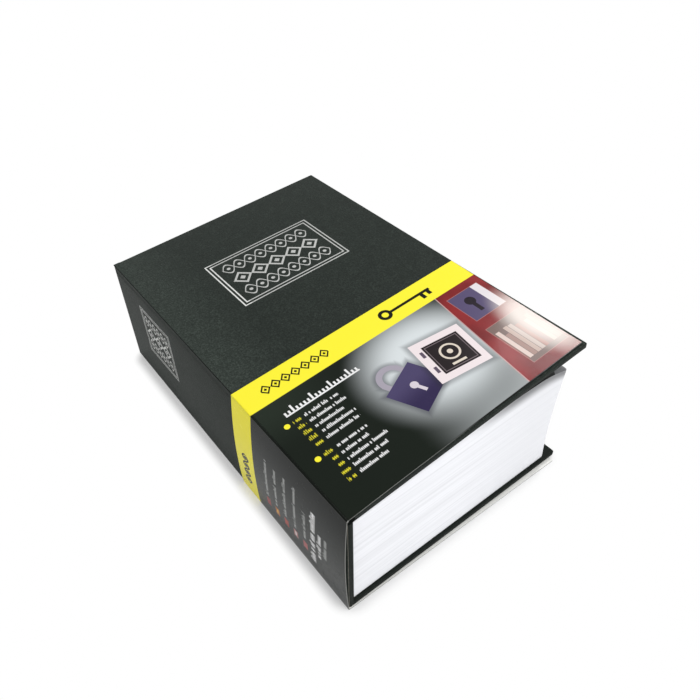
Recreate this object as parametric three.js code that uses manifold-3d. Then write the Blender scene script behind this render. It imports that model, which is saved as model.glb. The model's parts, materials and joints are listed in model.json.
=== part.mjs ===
// Book diversion safe: a hardback book case with a locking steel box in its page block.
// Millimetres, +Z up. The book lies on its back cover, its spine along -X and its head along +Y.

import * as THREE from 'three';
import { mergeVertices } from 'three/addons/utils/BufferGeometryUtils.js';
import Module from 'manifold-3d';

const wasm = await Module();
wasm.setup();

// Book case
const BOOK_WIDTH = 115;
const BOOK_LENGTH = 180;
const BOOK_HEIGHT = 55;
const BOARD = 2;
const PAPER = 0.25;
const LINING = 0.2;
const LINING_MARGIN = 6;
const GLUE_LINE = 0.1;
const COVER_AJAR = 5;
const JOINT_START = 0.4;
const JOINT_WIDTH = 2.5;
const JOINT_GAP = 0.1;
const HINGE_SLACK = 0.25;

// Page block
const PAGES_COVER_GAP = 0.4;
const PAGES_SPINE_GAP = 0.75;
const FORE_EDGE_SQUARE = 5;
const TAIL_SQUARE = 1.4;
const FORE_EDGE_HOLLOW = 1.5;
const FORE_EDGE_STEPS = 12;
const PAGES_CORNER = 2.5;
const PAGES_WALL = 9.2;
const PAGES_END_WALL = 8.3;
const POCKET_GAP = 0.3;

// Steel box
const SHEET = 1;
const TRAY_RECESS = 2.3;
const RIM_FLANGE = 5;
const TRAY_SPINE_GAP = 0.25;
const LID_GAP = 0.05;
const LID_MARGIN = 0.2;
const LID_CORNER = 2;
const PIN_RADIUS = 1;
const PIN_GAP = 0.08;
const KNUCKLE_RADIUS = 2.2;
const KNUCKLE_COUNT = 7;
const KNUCKLE_LENGTH = 20;
const KNUCKLE_GAP = 0.4;
const PIN_OVERHANG = 1;
const PIN_INSET = 2.6;
const ROUND_STEPS = 24;

// Cam lock
const LOCK_FROM_LID_EDGE = 19;
const BARREL_RADIUS = 7.9;
const BARREL_FLATS = 13;
const BARREL_DEPTH = 12;
const BARREL_HOLE_GAP = 0.15;
const BEZEL_RADIUS = 9.5;
const BEZEL_HEIGHT = 1.2;
const BEZEL_STEP = 1;
const PLUG_RADIUS = 5.6;
const PLUG_GAP = 0.1;
const PLUG_RECESS = 0.2;
const KEYWAY_WIDTH = 2.2;
const KEYWAY_HEIGHT = 7.4;
const KEYWAY_FLOOR = 2;
const NUT_FLATS = 19;
const NUT_HEIGHT = 3;
const LOCK_WASHER = 0.6;
const LOCK_WASHER_RADIUS = 9.5;
const TAIL_SQUARE_SIDE = 5.4;
const CAM_THICKNESS = 1.5;
const CAM_WIDTH = 9;
const CAM_REACH = 16.5;
const CAM_HOLE_GAP = 0.15;
const CAM_RUNNING_GAP = 0.3;
const CAM_SCREW_RADIUS = 1.5;
const CAM_SCREW_LENGTH = 3.6;
const CAM_SCREW_HEAD_RADIUS = 3.4;
const CAM_SCREW_HEAD = 2;
const CAM_SCREW_SLOT = 1;
const CAM_WASHER = 0.8;
const CAM_WASHER_RADIUS = 5;
const SEAT_GAP = 0.1;
const STRIKE_LENGTH = 28;
const STRIKE_THICKNESS = 1.2;
const STRIKE_REACH = 5.5;
const STRIKE_RISE = 7;

// Wafers and their springs in the lock's plug
const WAFER_COUNT = 4;
const WAFER_PITCH = 2.4;
const WAFER_FIRST = 2.6;
const WAFER_THICKNESS = 0.9;
const WAFER_WIDTH = 5.4;
const WAFER_LENGTH = 9.2;
const WAFER_WINDOW = 2.9;
const WAFER_WINDOW_LENGTH = 6.4;
const WAFER_TAB = 1.6;
const WAFER_TAB_LENGTH = 1;
const WAFER_GAP = 0.1;
const SPRING_RADIUS = 0.34;
const SPRING_WIRE = 0.16;
const SPRING_TURNS = 5;
const SPRING_LENGTH = 2.4;
const SPRING_SIDES = 5;

// Keys
const KEY_THICKNESS = 1.8;
const KEY_BOW_RADIUS = 10;
const KEY_HOLE_RADIUS = 2.2;
const KEY_HOLE_OFFSET = 5.5;
const KEY_BLADE_LENGTH = 24;
const KEY_BLADE_WIDTH = 6.4;
const KEY_CUTS = [1.6, 0.7, 2, 1.1];
const KEY_CUT_PITCH = 3.2;
const KEY_SHOULDER = 4.5;
const KEY_COUNT = 2;
const KEY_SPACING = 25;
const KEY_FIRST_FROM_SPINE = 28;
const KEY_END_GAP = 0.3;
const KEY_FLOOR_GAP = 0.05;

// Card sleeve round the tail part of the book
const CARD = 0.35;
const CARD_GAP = 0.1;
const SLEEVE_BOW = 1.2;
const SLEEVE_BOW_STEPS = 12;
const SLEEVE_TOP_GAP = 0.5;
const SLEEVE_FOLD_START = 1;
const SLEEVE_HEAD_Y = -20.4;
const SLEEVE_HEAD_SLANT = 2.2;
const SLEEVE_SPINE_SLANT = 3.4;
const SLEEVE_TAIL_OVERHANG = 0.3;
const SLEEVE_TAIL_SLANT = 1.7;
const SLEEVE_FRONT_TAIL_SLANT = 1.4;
const SLEEVE_FRONT_SHORT = 2;
const SLEEVE_BACK_SHORT = 3;

// Levels and planes worked out from the sizes above
const spineX = -BOOK_WIDTH / 2;
const foreX = BOOK_WIDTH / 2;
const halfLength = BOOK_LENGTH / 2;
const caseBottom = CARD;
const backBoardBottom = caseBottom + PAPER;
const backBoardTop = backBoardBottom + BOARD;
const insideFloor = backBoardTop + LINING;
const hingeZ = caseBottom + BOOK_HEIGHT;
const coverThickness = PAPER + GLUE_LINE + BOARD + GLUE_LINE + LINING;
const pagesTop = hingeZ - coverThickness - PAGES_COVER_GAP;
const spineBoardInner = spineX + PAPER + BOARD;
const pagesSpineX = spineBoardInner + PAGES_SPINE_GAP;
const pagesForeX = foreX - FORE_EDGE_SQUARE;
const pagesHalfLength = halfLength - TAIL_SQUARE;
const pocketForeX = pagesForeX - PAGES_WALL;
const pocketHalfLength = pagesHalfLength - PAGES_END_WALL;
const trayForeX = pocketForeX - POCKET_GAP;
const traySpineX = spineBoardInner + TRAY_SPINE_GAP;
const trayHalfLength = pocketHalfLength - POCKET_GAP;
const trayTop = pagesTop - TRAY_RECESS;
const trayFloor = insideFloor + SHEET;
const lidBottom = trayTop + LID_GAP;
const lidTop = lidBottom + SHEET;
const pinX = traySpineX + PIN_INSET;
const pinZ = trayTop;
const knuckleSpan = KNUCKLE_COUNT * KNUCKLE_LENGTH;
const lidForeX = trayForeX - LID_MARGIN;
const lockX = lidForeX - LOCK_FROM_LID_EDGE;
const barrelBottom = lidTop - BARREL_DEPTH;
const camTop = barrelBottom - CAM_RUNNING_GAP;
const camBottom = camTop - CAM_THICKNESS;
const tailBottom = camBottom - SEAT_GAP;
const camWasherBottom = tailBottom - SEAT_GAP - CAM_WASHER;
const plugTop = lidTop + SEAT_GAP + BEZEL_HEIGHT - PLUG_RECESS;
const jointEnd = JOINT_START + JOINT_WIDTH;
const coverStart = jointEnd + 2 * JOINT_GAP;
const radians = THREE.MathUtils.degToRad;

// Solids: plain shapes, and joins and cuts between them
function toSolid(geometry) {
  const bare = geometry.clone();
  bare.deleteAttribute('normal');
  bare.deleteAttribute('uv');
  const merged = mergeVertices(bare, 1e-5);
  return new wasm.Manifold(new wasm.Mesh({
    numProp: 3,
    vertProperties: new Float32Array(merged.attributes.position.array),
    triVerts: new Uint32Array(merged.index.array),
  }));
}

function toGeometry(solid) {
  const mesh = solid.getMesh();
  const geometry = new THREE.BufferGeometry();
  geometry.setAttribute('position', new THREE.BufferAttribute(new Float32Array(mesh.vertProperties), 3));
  geometry.setIndex(new THREE.BufferAttribute(new Uint32Array(mesh.triVerts), 1));
  return geometry;
}

function join(...geometries) {
  return toGeometry(geometries.map(toSolid).reduce((sum, solid) => sum.add(solid)));
}

function cut(geometry, ...tools) {
  return toGeometry(tools.map(toSolid).reduce((rest, tool) => rest.subtract(tool), toSolid(geometry)));
}

function common(a, b) {
  return toGeometry(toSolid(a).intersect(toSolid(b)));
}

function block(x0, x1, y0, y1, z0, z1) {
  const geometry = new THREE.BoxGeometry(x1 - x0, y1 - y0, z1 - z0);
  return geometry.translate((x0 + x1) / 2, (y0 + y1) / 2, (z0 + z1) / 2);
}

function outline(points) {
  return new THREE.Shape(points.map(([x, y]) => new THREE.Vector2(x, y)));
}

function roundedRectangle(x0, x1, y0, y1, radius) {
  const shape = new THREE.Shape();
  shape.moveTo(x0 + radius, y0);
  shape.lineTo(x1 - radius, y0);
  shape.absarc(x1 - radius, y0 + radius, radius, -Math.PI / 2, 0);
  shape.lineTo(x1, y1 - radius);
  shape.absarc(x1 - radius, y1 - radius, radius, 0, Math.PI / 2);
  shape.lineTo(x0 + radius, y1);
  shape.absarc(x0 + radius, y1 - radius, radius, Math.PI / 2, Math.PI);
  shape.lineTo(x0, y0 + radius);
  shape.absarc(x0 + radius, y0 + radius, radius, Math.PI, 1.5 * Math.PI);
  return shape;
}

// A plan outline (x, y) standing between two heights
function upright(shape, z0, z1, curveSegments = 6) {
  const settings = { depth: z1 - z0, bevelEnabled: false, curveSegments };
  return new THREE.ExtrudeGeometry(shape, settings).translate(0, 0, z0);
}

// An end-on outline (x, z) running along Y
function alongY(shape, y0, y1) {
  const settings = { depth: y1 - y0, bevelEnabled: false };
  return new THREE.ExtrudeGeometry(shape, settings).rotateX(Math.PI / 2).translate(0, y1, 0);
}

// A side outline (y, z) running along X
function alongX(shape, x0, x1) {
  const settings = { depth: x1 - x0, bevelEnabled: false };
  const geometry = new THREE.ExtrudeGeometry(shape, settings);
  return geometry.rotateX(Math.PI / 2).rotateZ(Math.PI / 2).translate(x0, 0, 0);
}

function drum(x, y, radius, z0, z1, steps = ROUND_STEPS) {
  const geometry = new THREE.CylinderGeometry(radius, radius, z1 - z0, steps);
  return geometry.rotateX(Math.PI / 2).translate(x, y, (z0 + z1) / 2);
}

function rodAlongY(x, z, radius, y0, y1, steps = ROUND_STEPS) {
  const geometry = new THREE.CylinderGeometry(radius, radius, y1 - y0, steps);
  return geometry.translate(x, (y0 + y1) / 2, z);
}

function ring(x, y, inner, outer, z0, z1) {
  const over = z1 - z0;
  return cut(drum(x, y, outer, z0, z1), drum(x, y, inner, z0 - over, z1 + over));
}

// Finishes
const finishes = {
  board: { color: 0x6f6a62, roughness: 0.9 },
  leatherette: { color: 0x2f3130, roughness: 0.55 },
  endpaper: { color: 0xd9d9de, roughness: 0.85 },
  pages: { color: 0xf1f1f3, roughness: 0.85 },
  paintedSteel: { color: 0x1d1e20, roughness: 0.45, metalness: 0.3 },
  steel: { color: 0xb8babd, roughness: 0.35, metalness: 1 },
  chrome: { color: 0xd5d7da, roughness: 0.15, metalness: 1 },
  brass: { color: 0xc2a25a, roughness: 0.35, metalness: 1 },
  card: { color: 0x3a3f41, roughness: 0.25 },
};

function piece(name, finish, geometry) {
  const material = new THREE.MeshStandardMaterial({ ...finishes[finish], flatShading: true });
  const mesh = new THREE.Mesh(geometry, material);
  mesh.name = name;
  return mesh;
}

// Book case: boards, covering paper and endpapers
function backCover() {
  const edgeX = foreX - PAPER;
  const edgeY = halfLength - PAPER;
  const board = block(spineX + PAPER, edgeX, -edgeY, edgeY, backBoardBottom, backBoardTop);
  const wrap = block(spineX + PAPER, foreX, -halfLength, halfLength, caseBottom, backBoardTop);
  const room = block(spineX, edgeX, -edgeY, edgeY, backBoardBottom, backBoardTop + BOARD);
  const liningY = halfLength - LINING_MARGIN;
  const lining = block(traySpineX, foreX - LINING_MARGIN, -liningY, liningY, backBoardTop, insideFloor);
  return [
    piece('back_board', 'board', board),
    piece('cover_paper_back', 'leatherette', cut(wrap, room)),
    piece('back_lining', 'endpaper', lining),
  ];
}

function spine() {
  const edgeY = halfLength - PAPER;
  const paperInner = spineX + PAPER;
  const board = block(paperInner, spineBoardInner, -edgeY, edgeY, backBoardTop, pagesTop);
  const face = block(spineX, paperInner, -halfLength, halfLength, caseBottom, hingeZ - HINGE_SLACK);
  const turnIns = block(paperInner - PAPER / 2, spineBoardInner, -halfLength, halfLength, backBoardTop, pagesTop);
  const room = block(paperInner, foreX, -edgeY, edgeY, 0, hingeZ);
  return [
    piece('spine_board', 'board', board),
    piece('cover_paper_spine', 'leatherette', cut(join(face, turnIns), room)),
  ];
}

// The front cover lies in its own frame: u along the cover from the hinge, w out of its face
function frontCover() {
  const edgeU = BOOK_WIDTH - PAPER;
  const edgeY = halfLength - PAPER;
  const boardTop = -PAPER - GLUE_LINE;
  const boardBottom = boardTop - BOARD;
  const liningTop = boardBottom - GLUE_LINE;
  const liningY = halfLength - LINING_MARGIN;
  const wrap = block(coverStart, BOOK_WIDTH, -halfLength, halfLength, boardBottom, 0);
  const room = block(0, edgeU, -edgeY, edgeY, liningTop, -PAPER);
  const board = block(
    coverStart + GLUE_LINE, edgeU - GLUE_LINE, GLUE_LINE - edgeY, edgeY - GLUE_LINE, boardBottom, boardTop,
  );
  const lining = block(
    coverStart + GLUE_LINE, BOOK_WIDTH - LINING_MARGIN, -liningY, liningY, liningTop - LINING, liningTop,
  );
  return [
    piece('cover_paper_joint', 'leatherette', block(JOINT_START, jointEnd, -halfLength, halfLength, -PAPER, 0)),
    piece('cover_paper_front', 'leatherette', cut(wrap, room)),
    piece('front_board', 'board', board),
    piece('front_lining', 'endpaper', lining),
  ];
}

// Page block: a stack of white leaves with a hollow fore-edge, cut out round the steel box
function pageBlock() {
  const middle = (insideFloor + pagesTop) / 2;
  const halfHeight = pagesTop - middle;
  const section = [[pagesSpineX, pagesTop], [pagesSpineX, insideFloor]];
  for (let step = 0; step <= FORE_EDGE_STEPS; step += 1) {
    const height = insideFloor + (2 * halfHeight * step) / FORE_EDGE_STEPS;
    const share = (height - middle) / halfHeight;
    section.push([pagesForeX - FORE_EDGE_HOLLOW * (1 - share * share), height]);
  }
  const stack = alongY(outline(section), -pagesHalfLength, pagesHalfLength);
  const plan = roundedRectangle(
    pagesSpineX - PAGES_CORNER, pagesForeX, -pagesHalfLength, pagesHalfLength, PAGES_CORNER,
  );
  const rounded = common(stack, upright(plan, insideFloor - 1, pagesTop + 1));
  const pocket = block(
    spineX, pocketForeX, -pocketHalfLength, pocketHalfLength, insideFloor - 1, pagesTop + 1,
  );
  return piece('page_block', 'pages', cut(rounded, pocket));
}

// Hinge: knuckles alternate between the tray and the lid, with the tray's at both ends
function knuckles(first, extra = 0) {
  const rods = [];
  for (let index = first; index < KNUCKLE_COUNT; index += 2) {
    const start = -knuckleSpan / 2 + index * KNUCKLE_LENGTH;
    const inset = KNUCKLE_GAP / 2 - extra;
    rods.push(rodAlongY(pinX, pinZ, KNUCKLE_RADIUS + extra, start + inset, start + KNUCKLE_LENGTH - inset));
  }
  return rods;
}

function pinBore() {
  const reach = knuckleSpan / 2 + PIN_OVERHANG;
  return rodAlongY(pinX, pinZ, PIN_RADIUS + PIN_GAP, -reach, reach);
}

function tray() {
  const y = trayHalfLength;
  const shell = block(traySpineX, trayForeX, -y, y, insideFloor, trayTop);
  const room = block(
    traySpineX + SHEET, trayForeX - SHEET, SHEET - y, y - SHEET, trayFloor, trayTop - SHEET,
  );
  const mouth = block(
    traySpineX + SHEET, trayForeX - SHEET - RIM_FLANGE, SHEET + RIM_FLANGE - y, y - SHEET - RIM_FLANGE,
    trayFloor, trayTop + SHEET,
  );
  const open = cut(shell, room, mouth);
  const cleared = cut(open, ...knuckles(1, KNUCKLE_GAP));
  return piece('steel_tray', 'paintedSteel', cut(join(cleared, ...knuckles(0)), pinBore()));
}

function hingePin() {
  const reach = knuckleSpan / 2 + PIN_OVERHANG;
  return piece('hinge_pin', 'steel', rodAlongY(pinX, pinZ, PIN_RADIUS, -reach, reach));
}

// A round barrel with two flats, which keep the lock from turning in its hole
function flattedBarrel(radius, flats, z0, z1) {
  const slab = block(lockX - flats / 2, lockX + flats / 2, -2 * radius, 2 * radius, z0, z1);
  return common(drum(lockX, 0, radius, z0, z1), slab);
}

function lid() {
  const y = trayHalfLength - LID_MARGIN;
  const edge = pinX + KNUCKLE_RADIUS + KNUCKLE_GAP;
  const plan = roundedRectangle(edge, lidForeX, -y, y, LID_CORNER);
  const leaves = [];
  for (let index = 1; index < KNUCKLE_COUNT; index += 2) {
    const start = -knuckleSpan / 2 + index * KNUCKLE_LENGTH + KNUCKLE_GAP / 2;
    const end = start + KNUCKLE_LENGTH - KNUCKLE_GAP;
    leaves.push(block(pinX, edge + LID_CORNER, start, end, lidBottom, lidTop));
  }
  const sheet = join(upright(plan, lidBottom, lidTop), ...leaves, ...knuckles(1));
  const hole = flattedBarrel(
    BARREL_RADIUS + BARREL_HOLE_GAP, BARREL_FLATS + 2 * BARREL_HOLE_GAP, lidBottom - 1, lidTop + 1,
  );
  return piece('lid_panel', 'paintedSteel', cut(sheet, pinBore(), hole));
}

// The strike is an angle welded inside the tray's fore-edge wall, with the cam turning under it
function strike() {
  const wall = trayForeX - SHEET;
  const bottom = camTop + CAM_RUNNING_GAP;
  const y = STRIKE_LENGTH / 2;
  const foot = block(wall - STRIKE_REACH, wall, -y, y, bottom, bottom + STRIKE_THICKNESS);
  const back = block(wall - STRIKE_THICKNESS, wall, -y, y, bottom, bottom + STRIKE_RISE);
  return piece('strike_bracket', 'steel', join(foot, back));
}

function lockHousing() {
  const seat = lidTop + SEAT_GAP;
  const top = seat + BEZEL_HEIGHT;
  const profile = [
    [0, seat], [BEZEL_RADIUS, seat], [BEZEL_RADIUS, top - BEZEL_HEIGHT / 2], [BEZEL_RADIUS - BEZEL_STEP, top], [0, top],
  ];
  const points = profile.map(([radius, height]) => new THREE.Vector2(radius, height));
  const bezel = new THREE.LatheGeometry(points, ROUND_STEPS).rotateX(Math.PI / 2).translate(lockX, 0, 0);
  const body = flattedBarrel(BARREL_RADIUS, BARREL_FLATS, barrelBottom, seat + BEZEL_HEIGHT / 2);
  const bore = drum(lockX, 0, PLUG_RADIUS + PLUG_GAP, barrelBottom - 1, top + 1);
  return piece('lock_housing', 'chrome', cut(join(bezel, body), bore));
}

function lockFasteners() {
  const washerBottom = lidBottom - SEAT_GAP - LOCK_WASHER;
  const nutTop = washerBottom - SEAT_GAP;
  const hole = BARREL_RADIUS + BARREL_HOLE_GAP;
  const washer = ring(lockX, 0, hole, LOCK_WASHER_RADIUS, washerBottom, washerBottom + LOCK_WASHER);
  const hex = drum(lockX, 0, NUT_FLATS / Math.sqrt(3), nutTop - NUT_HEIGHT, nutTop, 6);
  const through = drum(lockX, 0, hole, nutTop - NUT_HEIGHT - 1, nutTop + 1);
  return [
    piece('lock_washer', 'steel', washer),
    piece('lock_nut', 'steel', cut(hex, through)),
  ];
}

// The plug turns in the housing. The keyway, the wafers' slots and the springs' pockets are cut in it.
function waferTop(index) {
  return plugTop - WAFER_FIRST - index * WAFER_PITCH;
}

function springX() {
  return lockX + WAFER_WIDTH / 2 + WAFER_TAB / 2;
}

function lockPlug() {
  const cuts = [];
  const keyway = block(
    lockX - KEYWAY_WIDTH / 2, lockX + KEYWAY_WIDTH / 2, -KEYWAY_HEIGHT / 2, KEYWAY_HEIGHT / 2,
    barrelBottom + KEYWAY_FLOOR, plugTop + 1,
  );
  cuts.push(keyway);
  for (let index = 0; index < WAFER_COUNT; index += 1) {
    const top = waferTop(index) + WAFER_GAP;
    const bottom = waferTop(index) - WAFER_THICKNESS - WAFER_GAP;
    const halfWidth = WAFER_WIDTH / 2 + WAFER_GAP;
    cuts.push(block(lockX - halfWidth, lockX + halfWidth, -PLUG_RADIUS, PLUG_RADIUS, bottom, top));
    const pocketWidth = WAFER_TAB / 2 + WAFER_GAP;
    const pocketEnd = SPRING_LENGTH + WAFER_GAP;
    const pocketStart = -WAFER_TAB_LENGTH - 2 * WAFER_GAP;
    cuts.push(block(lockX, springX() + pocketWidth, pocketStart, pocketEnd, bottom, top));
  }
  const barrel = drum(lockX, 0, PLUG_RADIUS, barrelBottom, plugTop);
  const half = TAIL_SQUARE_SIDE / 2;
  const tail = block(lockX - half, lockX + half, -half, half, tailBottom, barrelBottom + SEAT_GAP);
  const thread = drum(
    lockX, 0, CAM_SCREW_RADIUS + SEAT_GAP, tailBottom - 1, tailBottom + CAM_SCREW_LENGTH,
  );
  return piece('lock_plug', 'chrome', cut(join(barrel, tail), thread, ...cuts));
}

function wafer(index) {
  const top = waferTop(index);
  const bottom = top - WAFER_THICKNESS;
  const halfWidth = WAFER_WIDTH / 2;
  const plate = block(
    lockX - halfWidth, lockX + halfWidth, -WAFER_LENGTH / 2, WAFER_LENGTH / 2, bottom, top,
  );
  const tab = block(lockX, lockX + halfWidth + WAFER_TAB, -WAFER_TAB_LENGTH, -WAFER_GAP, bottom, top);
  const window = block(
    lockX - WAFER_WINDOW / 2, lockX + WAFER_WINDOW / 2, -WAFER_WINDOW_LENGTH / 2, WAFER_WINDOW_LENGTH / 2,
    bottom - 1, top + 1,
  );
  return piece(`wafer_${index + 1}`, 'brass', cut(join(plate, tab), window));
}

class SpringCurve extends THREE.Curve {
  getPoint(t, target = new THREE.Vector3()) {
    const angle = 2 * Math.PI * SPRING_TURNS * t;
    const along = SPRING_WIRE / 2 + (SPRING_LENGTH - SPRING_WIRE) * t;
    return target.set(SPRING_RADIUS * Math.cos(angle), along, SPRING_RADIUS * Math.sin(angle));
  }
}

function waferSpring(index) {
  const section = new THREE.Shape();
  for (let side = 0; side < SPRING_SIDES; side += 1) {
    const angle = (2 * Math.PI * side) / SPRING_SIDES;
    const point = [(SPRING_WIRE / 2) * Math.cos(angle), (SPRING_WIRE / 2) * Math.sin(angle)];
    if (side === 0) section.moveTo(...point);
    else section.lineTo(...point);
  }
  const settings = { steps: SPRING_TURNS * 8, extrudePath: new SpringCurve() };
  const wire = new THREE.ExtrudeGeometry(section, settings);
  const height = waferTop(index) - WAFER_THICKNESS / 2;
  return piece(`wafer_spring_${index + 1}`, 'steel', wire.translate(springX(), 0, height));
}

// The cam rests unlocked, along +Y. A quarter turn brings it under the strike.
function cam() {
  const half = CAM_WIDTH / 2;
  const shape = new THREE.Shape();
  shape.moveTo(lockX + half, 0);
  shape.lineTo(lockX + half, CAM_REACH - half / 2);
  shape.lineTo(lockX + half / 2, CAM_REACH);
  shape.lineTo(lockX - half / 2, CAM_REACH);
  shape.lineTo(lockX - half, CAM_REACH - half / 2);
  shape.lineTo(lockX - half, 0);
  shape.absarc(lockX, 0, half, Math.PI, 2 * Math.PI);
  const side = TAIL_SQUARE_SIDE / 2 + CAM_HOLE_GAP;
  const hole = block(lockX - side, lockX + side, -side, side, camBottom - 1, camTop + 1);
  return piece('cam', 'steel', cut(upright(shape, camBottom, camTop, 12), hole));
}

function camFasteners() {
  const hole = CAM_SCREW_RADIUS + SEAT_GAP;
  const washer = ring(
    lockX, 0, hole, CAM_WASHER_RADIUS, camWasherBottom, camWasherBottom + CAM_WASHER,
  );
  const headTop = camWasherBottom - SEAT_GAP;
  const headBottom = headTop - CAM_SCREW_HEAD;
  const shankTop = tailBottom + CAM_SCREW_LENGTH - 2 * SEAT_GAP;
  const head = drum(lockX, 0, CAM_SCREW_HEAD_RADIUS, headBottom, headTop);
  const shank = drum(lockX, 0, CAM_SCREW_RADIUS, headTop - SEAT_GAP, shankTop);
  const slots = [0, Math.PI / 2].map((turn) => {
    const slot = new THREE.BoxGeometry(CAM_SCREW_HEAD_RADIUS * 1.2, CAM_SCREW_SLOT, CAM_SCREW_HEAD);
    return slot.rotateZ(turn).translate(lockX, 0, headBottom);
  });
  return [
    piece('cam_washer', 'steel', washer),
    piece('cam_screw', 'steel', cut(join(head, shank), ...slots)),
  ];
}

// A flat key: round bow with a ring hole, shoulder, and a blade with its cuts on one side
function key(index) {
  const x = traySpineX + KEY_FIRST_FROM_SPINE + index * KEY_SPACING;
  const bowY = trayHalfLength - SHEET - KEY_END_GAP - KEY_BOW_RADIUS;
  const floor = trayFloor + KEY_FLOOR_GAP;
  const top = floor + KEY_THICKNESS;
  const half = KEY_BLADE_WIDTH / 2;
  const tip = -KEY_BOW_RADIUS - KEY_BLADE_LENGTH;
  const blade = [[-KEY_SHOULDER, 0], [-KEY_SHOULDER, -KEY_BOW_RADIUS - 1], [-half, -KEY_BOW_RADIUS - 1]];
  blade.push([-half, tip + half], [0, tip], [half, tip + half]);
  const cutsStart = tip + half + 1;
  [...KEY_CUTS].reverse().forEach((depth, place) => {
    const y = cutsStart + place * KEY_CUT_PITCH;
    blade.push([half, y], [half - depth, y + depth], [half - depth, y + KEY_CUT_PITCH / 2]);
  });
  blade.push([half, cutsStart + KEY_CUTS.length * KEY_CUT_PITCH], [half, -KEY_BOW_RADIUS - 1]);
  blade.push([KEY_SHOULDER, -KEY_BOW_RADIUS - 1], [KEY_SHOULDER, 0]);
  const bow = drum(0, 0, KEY_BOW_RADIUS, floor, top, 32);
  const hole = drum(0, KEY_HOLE_OFFSET, KEY_HOLE_RADIUS, floor - 1, top + 1, 16);
  const shape = cut(join(bow, upright(outline(blade), floor, top)), hole);
  return piece(`key_${index + 1}`, 'steel', shape.translate(x, bowY, 0));
}

// Card sleeve: back, spine and front panels, and the fold between spine and front
const sleeveSpineOut = spineX - CARD_GAP - CARD;
const sleeveSpineTop = hingeZ - SLEEVE_TOP_GAP;
const sleeveTailY = -halfLength - SLEEVE_TAIL_OVERHANG;

function sleeveBack() {
  const end = foreX - SLEEVE_BACK_SHORT;
  const head = SLEEVE_HEAD_Y + SLEEVE_SPINE_SLANT;
  const plan = outline([
    [sleeveSpineOut, sleeveTailY], [end, sleeveTailY - SLEEVE_TAIL_SLANT],
    [end, head - SLEEVE_TAIL_SLANT], [sleeveSpineOut, head],
  ]);
  return piece('sleeve_back', 'card', upright(plan, 0, CARD));
}

function sleeveSpine() {
  const middle = (CARD + sleeveSpineTop) / 2;
  const half = sleeveSpineTop - middle;
  const outer = [];
  const inner = [];
  for (let step = 0; step <= SLEEVE_BOW_STEPS; step += 1) {
    const height = CARD + ((sleeveSpineTop - CARD) * step) / SLEEVE_BOW_STEPS;
    const share = (height - middle) / half;
    const bow = SLEEVE_BOW * (1 - share * share);
    outer.push([sleeveSpineOut - bow, height]);
    inner.unshift([sleeveSpineOut + CARD - bow, height]);
  }
  const head = SLEEVE_HEAD_Y + SLEEVE_SPINE_SLANT;
  const band = alongY(outline([...outer, ...inner]), sleeveTailY - 1, head + 1);
  const side = outline([
    [sleeveTailY, 0], [head, 0], [SLEEVE_HEAD_Y, sleeveSpineTop + 1], [sleeveTailY, sleeveSpineTop + 1],
  ]);
  return piece('sleeve_spine', 'card', common(band, alongX(side, spineX - BOARD * 4, spineX)));
}

function sleeveFront() {
  const foldEnd = jointEnd - JOINT_GAP;
  const start = coverStart;
  const headAt = (u) => SLEEVE_HEAD_Y + (SLEEVE_HEAD_SLANT * u) / BOOK_WIDTH;
  const tailAt = (u) => sleeveTailY + (SLEEVE_FRONT_TAIL_SLANT * u) / BOOK_WIDTH;
  const tailEnd = BOOK_WIDTH - SLEEVE_FRONT_SHORT;
  const front = outline([
    [start, tailAt(start)], [tailEnd, tailAt(tailEnd)], [BOOK_WIDTH, headAt(BOOK_WIDTH)], [start, headAt(start)],
  ]);
  const fold = outline([
    [SLEEVE_FOLD_START, tailAt(SLEEVE_FOLD_START)], [foldEnd, tailAt(foldEnd)],
    [foldEnd, headAt(foldEnd)], [SLEEVE_FOLD_START, headAt(SLEEVE_FOLD_START)],
  ]);
  return [
    piece('sleeve_fold', 'card', upright(fold, CARD_GAP, CARD_GAP + CARD)),
    piece('sleeve_front', 'card', upright(front, CARD_GAP, CARD_GAP + CARD)),
  ];
}

// Everything in place: the front cover and the sleeve's front stand ajar on the hinge
const safe = new THREE.Group();
safe.add(...backCover(), ...spine(), pageBlock());
safe.add(tray(), hingePin(), strike(), lid());
safe.add(lockHousing(), ...lockFasteners(), lockPlug(), cam(), ...camFasteners());
for (let index = 0; index < WAFER_COUNT; index += 1) {
  safe.add(wafer(index), waferSpring(index));
}
for (let index = 0; index < KEY_COUNT; index += 1) {
  safe.add(key(index));
}
safe.add(sleeveBack(), sleeveSpine());

const ajar = new THREE.Group();
ajar.add(...frontCover(), ...sleeveFront());
ajar.position.set(spineX, 0, hingeZ);
ajar.rotation.y = -radians(COVER_AJAR);
safe.add(ajar);

// The part's origin is the centre of its footprint on the surface that it lies on
const footprint = new THREE.Group();
footprint.add(safe);
const box = new THREE.Box3().setFromObject(footprint, true);
safe.position.set(-(box.min.x + box.max.x) / 2, -(box.min.y + box.max.y) / 2, -box.min.z);

export default footprint;
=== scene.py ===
"""Looks of a book diversion safe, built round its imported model.

All sizes are in metres. The book lies on its back cover, with its spine along -X and its head along +Y.
Its own sizes and the print are measured from the hinge line: x or u from the spine, y from mid-length.
"""

import json
from math import cos, pi, radians, sin
from random import Random

import bmesh
import bpy
from bpy.props import FloatProperty, FloatVectorProperty, IntProperty, PointerProperty
from mathutils import Matrix, Vector


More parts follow.
